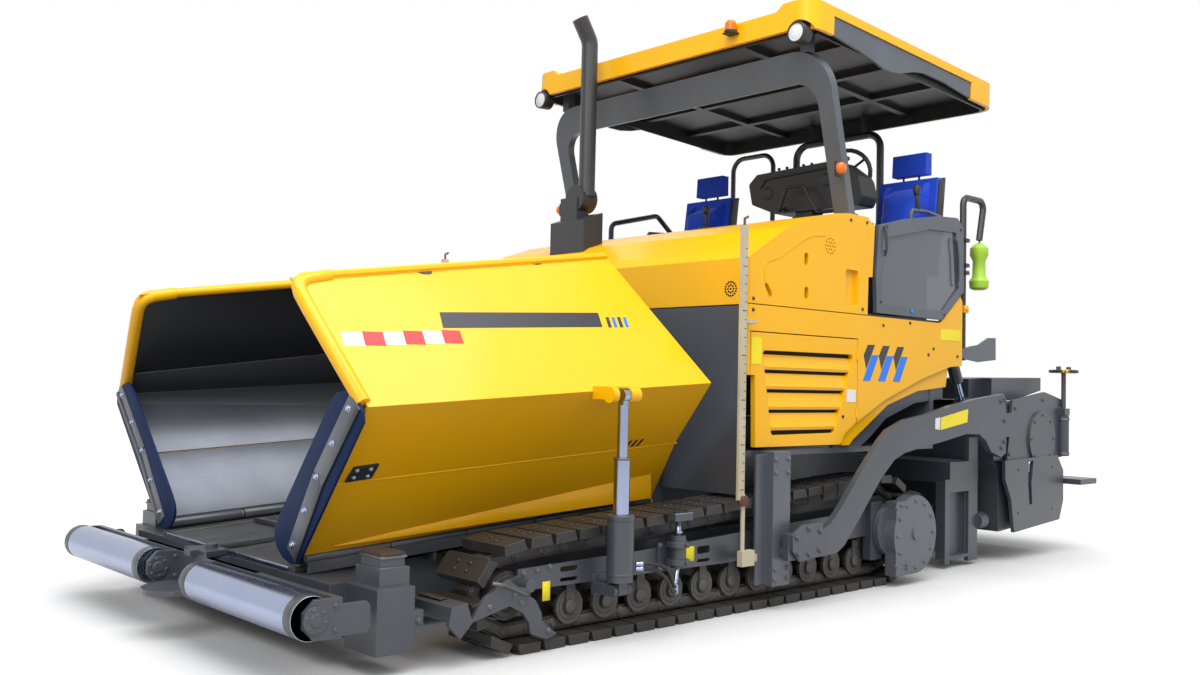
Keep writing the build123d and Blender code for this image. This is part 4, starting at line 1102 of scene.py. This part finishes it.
def seat_shape(x, y):
    """Plump forms of one seat: cushion, backrest with bolsters, headrest."""
    shape = Shape()
    for y0, y1, z0, z1 in ((-150, 150, 1966, 2066), (-222, -150, 1966, 2086),
                           (150, 222, 1966, 2086)):
        shape.box(x - 200, x + 255, y + y0, y + y1, z0, z1)
    back = x - 120
    for y0, y1, swell in ((-140, 140, 0), (-216, -140, 28), (140, 216, 28)):
        shape.plate(((back - 84, 2076), (back - 4 + swell, 2076), (back - 74 + swell, 2600),
                     (back - 144, 2600)), "y",
                    y + y0, y + y1)
    shape.plate(((back - 150, 2650), (back - 80, 2650), (back - 88, 2790), (back - 150, 2790)), "y",
                y - 125, y + 125)
    return shape


class PAVER_OT_station(bpy.types.Operator):
    """Seats, console, wheel, levers and lamps at the operators' places"""
    bl_idname = "paver.station"
    bl_label = "Operators' station"

    def execute(self, context):
        for (x, y), side in zip(SEATS, ("left", "right")):
            cushion(make("seat_" + side, seat_shape(x, y), "chassis", ["seat_fabric"], bevel=22,
                         smooth=False))
            shell = Shape()
            back = x - 120
            shell.plate(((back - 100, 2060), (back - 90, 2060), (back - 155, 2620),
                         (back - 172, 2620)), "y",
                        y - 228, y + 228)
            for side_y in (-232, 220):
                shell.plate(((back - 100, 2050), (back - 20, 2050), (back - 90, 2590),
                             (back - 165, 2610)), "y",
                            y + side_y, y + side_y + 12)
            shell.box(x - 215, x + 250, y - 230, y + 230, 1940, 1962)
            shell.slot = 1
            for reach in (-265, 265):
                shell.bar([(back - 60, y + reach, 2200), (back - 40, y + reach, 2330),
                           (x + 20, y + reach, 2345),
                           (x + 190, y + reach, 2335), (x + 205, y + reach, 2310),
                           (x + 200, y + reach, 2070)], 14)
            shell.slot = 0
            shell.bar([(x + 120, y + 265, 2350), (x + 125, y + 262, 2420),
                       (x + 130, y + 262, 2460)], 16)
            shell.turned((x + 131, y + 262, 2440), (0, 0, 1), ((0, 18), (30, 27), (62, 20)), 14)
            make("seat_shell_" + side, shell, "chassis", ["black_plastic", "grey_paint"], bevel=4)
        station = Shape()
        for y, z in ((150, 2520), (640, 2560)):
            station.turned((-858, y, z), (1, 0, 0), ((0, 44), (4, 44), (5, 36), (1, 32)), 28)
        station.bar([(-858, 90, 2560), (-852, 140, 2620), (-852, 640, 2636), (-858, 720, 2600)], 6)
        station.slot = 1
        station.turned((-1010, 700, 2684), (0, 0, 1),
                       ((0, 10), (18, 10), (22, 22), (40, 22), (46, 14)), 16)
        station.slot = 0
        for n in range(5):
            station.turned((-950, 180 + n * 70, 2672), (0, 0, 1),
                           ((0, 9), (22, 7), (26, 12), (38, 9)), 12)
        ring = [(-1110 + 30 * math.cos(i * math.pi / 12),
                 640 + 180 * math.cos(i * math.pi / 12 + math.pi / 2),
                 2640 + 150 * math.sin(i * math.pi / 12 + math.pi / 2)) for i in range(25)]
        station.bar(ring, 15)
        station.bar([(-1110, 640, 2640), (-1020, 640, 2560)], 20)
        for turn in (0.5, 2.6, 4.7):
            station.bar([(-1104, 640, 2640), (-1104 + 30 * math.cos(turn),
                                              640 + 178 * math.cos(turn),
                                              2640 + 148 * math.sin(turn))], 9)
        station.turned((-1112, 640, 2640), (-1, 0, 0), ((0, 44), (14, 40), (18, 20)), 20)
        make("console_controls", station, "chassis", ["black_plastic", "marking_red"], bevel=1.5)
        return {"FINISHED"}


# ---- canopy and posts -----------------------------------------------------------------------------------


class PAVER_OT_canopy(bpy.types.Operator):
    """Beacon, lamp housings, flashers, brackets and the tube on the hook"""
    bl_idname = "paver.canopy"
    bl_label = "Canopy"

    def execute(self, context):
        lamps = Shape()
        lamps.turned((62, 1138, 3212), (1, 0, 0),
                     ((-14, 40), (0, 58), (70, 62), (88, 60), (88, 52), (60, 50)), 32)
        lamps.bar([(95, 1108, 3260), (93, 1108, 3330)], 8)
        lamps.slot = 1
        lamps.turned((132, 1138, 3212), (1, 0, 0), ((0, 51), (8, 50), (14, 40), (17, 20)), 32)
        make("lamp_housings", lamps, "chassis", ["black_plastic", "lamp_glass"], (1, -1), 1)
        beacon = Shape()
        beacon.box(122, 190, 620, 700, 3300, 3308)
        beacon.turned((158, 660, 3308), (0, 0, 1), ((0, 40), (14, 40), (16, 34)), 24)
        beacon.slot = 1
        beacon.turned((158, 660, 3322), (0, 0, 1), ((0, 36), (46, 35), (60, 24), (64, 8)), 24)
        make("beacon", beacon, "chassis", ["black_plastic", "orange_lens"], bevel=1)
        flasher = Shape()
        flasher.box(-190, -140, 1212, 1232, 2410, 2500)
        flasher.slot = 1
        flasher.turned((-165, 1232, 2458), (0, 1, 0), ((0, 34), (22, 34), (34, 26), (38, 10)), 24)
        make("flashers", flasher, "chassis", ["black_plastic", "orange_lens"], (1, -1), 2)
        post = Shape()
        for y, z in ((1150, 2210), (1190, 2210)):
            post.bolt((-310, y, 2215), (0, 0, 1), 10)
            post.bolt((-352, y, 2215), (0, 0, 1), 10)
        post.bolt((-286, 1160, 2270), (1, 0, 0.25), 10)
        post.bolt((-280, 1196, 2290), (1, 0, 0.25), 8)
        make("post_bolts", post, "chassis", ["worn_steel"], (1, -1), 0)
        hook = Shape()
        hook.turned((-1890, 1190, 1873), (0, 0, 1),
                    ((0, 40), (12, 62), (60, 66), (90, 46), (200, 42), (240, 62),
                                                     (290, 60), (318, 30), (325, 12)), 24)
        hook.slot = 1
        hook.bar([(-1890, 1190, 2196), (-1905, 1190, 2260), (-1900, 1190, 2300)], 6)
        hook.slot = 2
        hook.box(-1700, -1640, 1160, 1220, 1700, 1750)
        hook.bolt((-1670, 1220, 1725), (0, 1, 0), 13)
        hook.slot = 1
        for z in (2180, 2010, 1960):
            hook.box(-1705, -1650, 1170, 1222, z, z + 26)
        make("hook_tube", hook, "chassis", ["lime_plastic", "black_plastic", "yellow_paint"],
             (1, -1), 3)
        return {"FINISHED"}


# ---- tow arms and screed --------------------------------------------------------------------------------


class PAVER_OT_screed(bpy.types.Operator):
    """Bolts, scales, stickers and the crank on the tow arms and the screed"""
    bl_idname = "paver.screed"
    bl_label = "Screed"

    def execute(self, context):
        arms = Shape()
        for x, z in ((450, 380), (440, 292), (345, 420), (345, 285), (245, 400), (250, 300)):
            arms.bolt((x, 1425, z), (0, 1, 0), 15)
        for x, z in ((-1830, 1120), (-1840, 980), (-1838, 840), (-1790, 1110), (-1800, 800)):
            arms.bolt((x, 1410, z), (0, 1, 0), 14)
        arms.slot = 1
        arms.plate(((-1022, 1006), (-1352, 1058), (-1344, 974), (-1016, 928)), "y", 1410, 1411.3)
        arms.slot = 2
        arms.plate(((-955, 1000), (-1012, 1008), (-1008, 930), (-952, 936)), "y", 1410, 1411.2)
        make("arm_bolts", arms, "screed", ["frame_paint", "sticker_yellow", "marking_white"],
             (1, -1), 0)
        column = Shape()
        for x in (435, 540):
            for z in (160, 215, 720, 790):
                column.bolt((x, 1350, z), (0, 1, 0), 13)
        column.slot = 1
        for n in range(28):
            column.box(786, 800 if n % 5 else 818, 1336, 1337, 640 + n * 46, 644 + n * 46)
        column.slot = 2
        column.turned((785, 1330, 560), (0, 0, 1), ((0, 26), (12, 30), (40, 30), (52, 22)), 8)
        column.bar([(806, 1330, 2004), (806, 1330, 2040), (780, 1330, 2052)], 7)
        make("column_bolts", column, "chassis", ["grey_paint", "black_marking_and_hole_shade", "rust_red"],
             (1, -1), 0)
        side = Shape()
        for z in (760, 900, 1075):
            side.bolt((-2020, 1258, z), (0, 1, 0), 13)
            side.bolt((-2170, 1258, z + 20), (0, 1, 0), 13)
        make("screed_bolts", side, "screed", ["frame_paint"], (1, -1), 0)

        def crank():
            shape = Shape()
            for n in range(8):
                turn = n * math.pi / 4
                shape.bolt((-2630 + 172 * math.cos(turn), 1302, 840 + 172 * math.sin(turn)),
                           (0, 1, 0), 10)
            for x, z in ((-2150, 740), (-2240, 1060), (-2660, 1120), (-2940, 1060), (-2990, 760)):
                shape.bolt((x, 1286, z), (0, 1, 0), 12)
            shape.slot = 1
            shape.turned((-2966, 1300, 720), (0, 0, 1),
                         ((0, 44), (14, 44), (16, 30), (250, 30), (252, 44), (268, 44)), 20)
            shape.slot = 2
            ring = [(-2966 + 94 * math.cos(i * math.pi / 12),
                     1300 + 94 * math.sin(i * math.pi / 12), 1336)
                    for i in range(25)]
            shape.bar(ring, 12)
            shape.slot = 3
            for turn in (0.6, 2.7, 4.8):
                shape.bar([(-2966 + 92 * math.cos(turn + d), 1300 + 92 * math.sin(turn + d), 1336)
                           for d in (-0.25, -0.12, 0, 0.12, 0.25)], 13.5)
            return shape
        twin("crank", crank, "screed_extension_{}",
             ["frame_paint", "worn_steel", "black_plastic", "yellow_paint"], bevel=0)
        return {"FINISHED"}


# ---- studio ------------------------------------------------------------------------------------------


def camera_matrix(studio):
    """The camera's place and turn from its heading, pitch and roll."""
    ahead = Vector((math.cos(studio.yaw) * math.cos(studio.pitch),
                    math.sin(studio.yaw) * math.cos(studio.pitch), math.sin(studio.pitch)))
    side = ahead.cross(Vector((0, 0, 1))).normalized()
    up = side.cross(ahead)
    x = math.cos(studio.roll) * side + math.sin(studio.roll) * up
    y = -math.sin(studio.roll) * side + math.cos(studio.roll) * up
    turn = Matrix((x, y, -ahead)).transposed().to_4x4()
    return Matrix.Translation(studio.place) @ turn


def lamp(name, power, size, place, target):
    """A soft rectangular lamp that faces a point."""
    data = bpy.data.lights.new(name, "AREA")
    data.energy = power
    data.shape = "RECTANGLE"
    data.size, data.size_y = size
    holder = bpy.data.objects.new(name, data)
    holder.location = place
    holder.rotation_euler = (Vector(target) - Vector(place)).to_track_quat("-Z", "Y").to_euler()
    bpy.context.scene.collection.objects.link(holder)
    return holder


def seen_or_mirrored(tree):
    """1 for rays that the camera, gloss or glass send out, else 0."""
    rays = add(tree, "LightPath")
    both = math_node(tree, "ADD", rays.outputs["Is Camera Ray"], rays.outputs["Is Glossy Ray"])
    return math_node(tree, "ADD", both, rays.outputs["Is Transmission Ray"], True)


def pale_world(strength):
    world = bpy.data.worlds.new("Studio")
    world.use_nodes = True
    tree = world.node_tree
    tree.nodes.clear()
    out = tree.nodes.new("ShaderNodeOutputWorld")
    even = add(tree, "Background", Color=(1, 1, 1, 1), Strength=strength)
    white = add(tree, "Background", Color=(1, 1, 1, 1), Strength=1.0)
    mix = add(tree, "MixShader")
    tree.links.new(seen_or_mirrored(tree), mix.inputs[0])
    tree.links.new(even.outputs[0], mix.inputs[1])
    tree.links.new(white.outputs[0], mix.inputs[2])
    tree.links.new(mix.outputs[0], out.inputs[0])
    bpy.context.scene.world = world


def pale_floor():
    """A wide floor that is white to the eye but throws little light back up; ambient occlusion dims its glow as a
    painted shadow under and round the machine.
    """
    mesh = bpy.data.meshes.new("Floor")
    reach = 60
    mesh.from_pydata([(-reach, -reach, 0), (reach, -reach, 0), (reach, reach, 0),
                      (-reach, reach, 0)], [],
                     [(0, 1, 2, 3)])
    floor = bpy.data.objects.new("Floor", mesh)
    bpy.context.scene.collection.objects.link(floor)
    material = bpy.data.materials.new("Studio floor")
    material.use_nodes = True
    tree = material.node_tree
    tree.nodes.clear()
    out = tree.nodes.new("ShaderNodeOutputMaterial")
    matt = add(tree, "BsdfDiffuse", Color=(0.34, 0.34, 0.345, 1))
    glow = add(tree, "Emission", Color=(1, 1, 1, 1))
    # Ambient occlusion dims the floor's white glow: a painted shadow under and beside the machine.
    near = add(tree, "AmbientOcclusion", samples=8)
    near.inputs["Distance"].default_value = 1.6
    ao_painted_shadow = math_node(tree, "POWER", near.outputs["AO"], 1.5)
    lift = math_node(tree, "MULTIPLY", seen_or_mirrored(tree),
                     math_node(tree, "MULTIPLY", ao_painted_shadow, 0.86))
    tree.links.new(lift, glow.inputs["Strength"])
    both = add(tree, "AddShader")
    tree.links.new(matt.outputs[0], both.inputs[0])
    tree.links.new(glow.outputs[0], both.inputs[1])
    tree.links.new(both.outputs[0], out.inputs[0])
    mesh.materials.append(material)


class PAVER_OT_studio(bpy.types.Operator):
    """Sets up the floor, the light and the camera"""
    bl_idname = "paver.studio"
    bl_label = "Studio"

    def execute(self, context):
        studio = context.scene.paver_studio
        pale_world(studio.sky)
        pale_floor()
        lamp("Key light", studio.key, (9, 7), (1.5, 3.5, 9.0), (0, 0, 1.0))
        lamp("Fill light", studio.fill, (5, 4), (8.0, 5.0, 5.0), (0, 0, 1.3))
        data = bpy.data.cameras.new("Camera")
        data.sensor_width = 36
        data.lens = studio.lens
        camera = bpy.data.objects.new("Camera", data)
        camera.matrix_world = camera_matrix(studio)
        context.scene.collection.objects.link(camera)
        context.scene.camera = camera
        context.scene.view_settings.view_transform = "Standard"
        return {"FINISHED"}


# Grey parts that take the darker copy of the grey paint, as painted shade.
SHADED_NODES = ("track_frames", "main_frame", "hinge_rails", "front_beam", "push_beam", "wing_barrel",
              "tow_arms",
              "screed", "auger_frame", "lift_barrel", "bulkhead")


class PAVER_OT_paint(bpy.types.Operator):
    """Gives every carried-over part its finish, and the low grey parts a darker grey as painted shade"""
    bl_idname = "paver.paint"
    bl_label = "Paint"

    def execute(self, context):
        made = make_materials(context.scene.paver_colours)
        for part in frame["record"]["subparts"]:
            mesh = NODES[part["node"]].data
            mesh.materials.clear()
            slot = part["material_slot"]
            mesh.materials.append(made["frame_paint" if slot == "grey_paint" and
                                       part["node"].startswith(SHADED_NODES) else slot])
            soften(NODES[part["node"]])
        return {"FINISHED"}


STEPS = ("paint", "tracks", "hopper", "front", "cylinders", "body", "station", "canopy", "screed",
         "studio")


class PAVER_PT_panel(bpy.types.Panel):
    """Lists the steps that dress the paver"""
    bl_idname = "PAVER_PT_panel"
    bl_label = "Asphalt paver"
    bl_space_type = "VIEW_3D"
    bl_region_type = "UI"
    bl_category = "Paver"

    def draw(self, context):
        for step in STEPS:
            self.layout.operator("paver." + step)
        for group in (context.scene.paver_colours, context.scene.paver_studio):
            for name in group.bl_rna.properties.keys():
                if name not in ("rna_type", "name"):
                    self.layout.prop(group, name)


CLASSES = (PaverColours, PaverStudio, PAVER_OT_paint, PAVER_OT_tracks, PAVER_OT_hopper,
           PAVER_OT_front,
           PAVER_OT_cylinders, PAVER_OT_body, PAVER_OT_station, PAVER_OT_canopy, PAVER_OT_screed,
           PAVER_OT_studio,
           PAVER_PT_panel)


def register():
    for entry in CLASSES:
        bpy.utils.register_class(entry)
    bpy.types.Scene.paver_colours = PointerProperty(type=PaverColours)
    bpy.types.Scene.paver_studio = PointerProperty(type=PaverStudio)


def unregister():
    del bpy.types.Scene.paver_studio
    del bpy.types.Scene.paver_colours
    for entry in reversed(CLASSES):
        bpy.utils.unregister_class(entry)


def main():
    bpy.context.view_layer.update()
    register()
    for step in STEPS:
        getattr(bpy.ops.paver, step)()


if __name__ == "__main__":
    main()
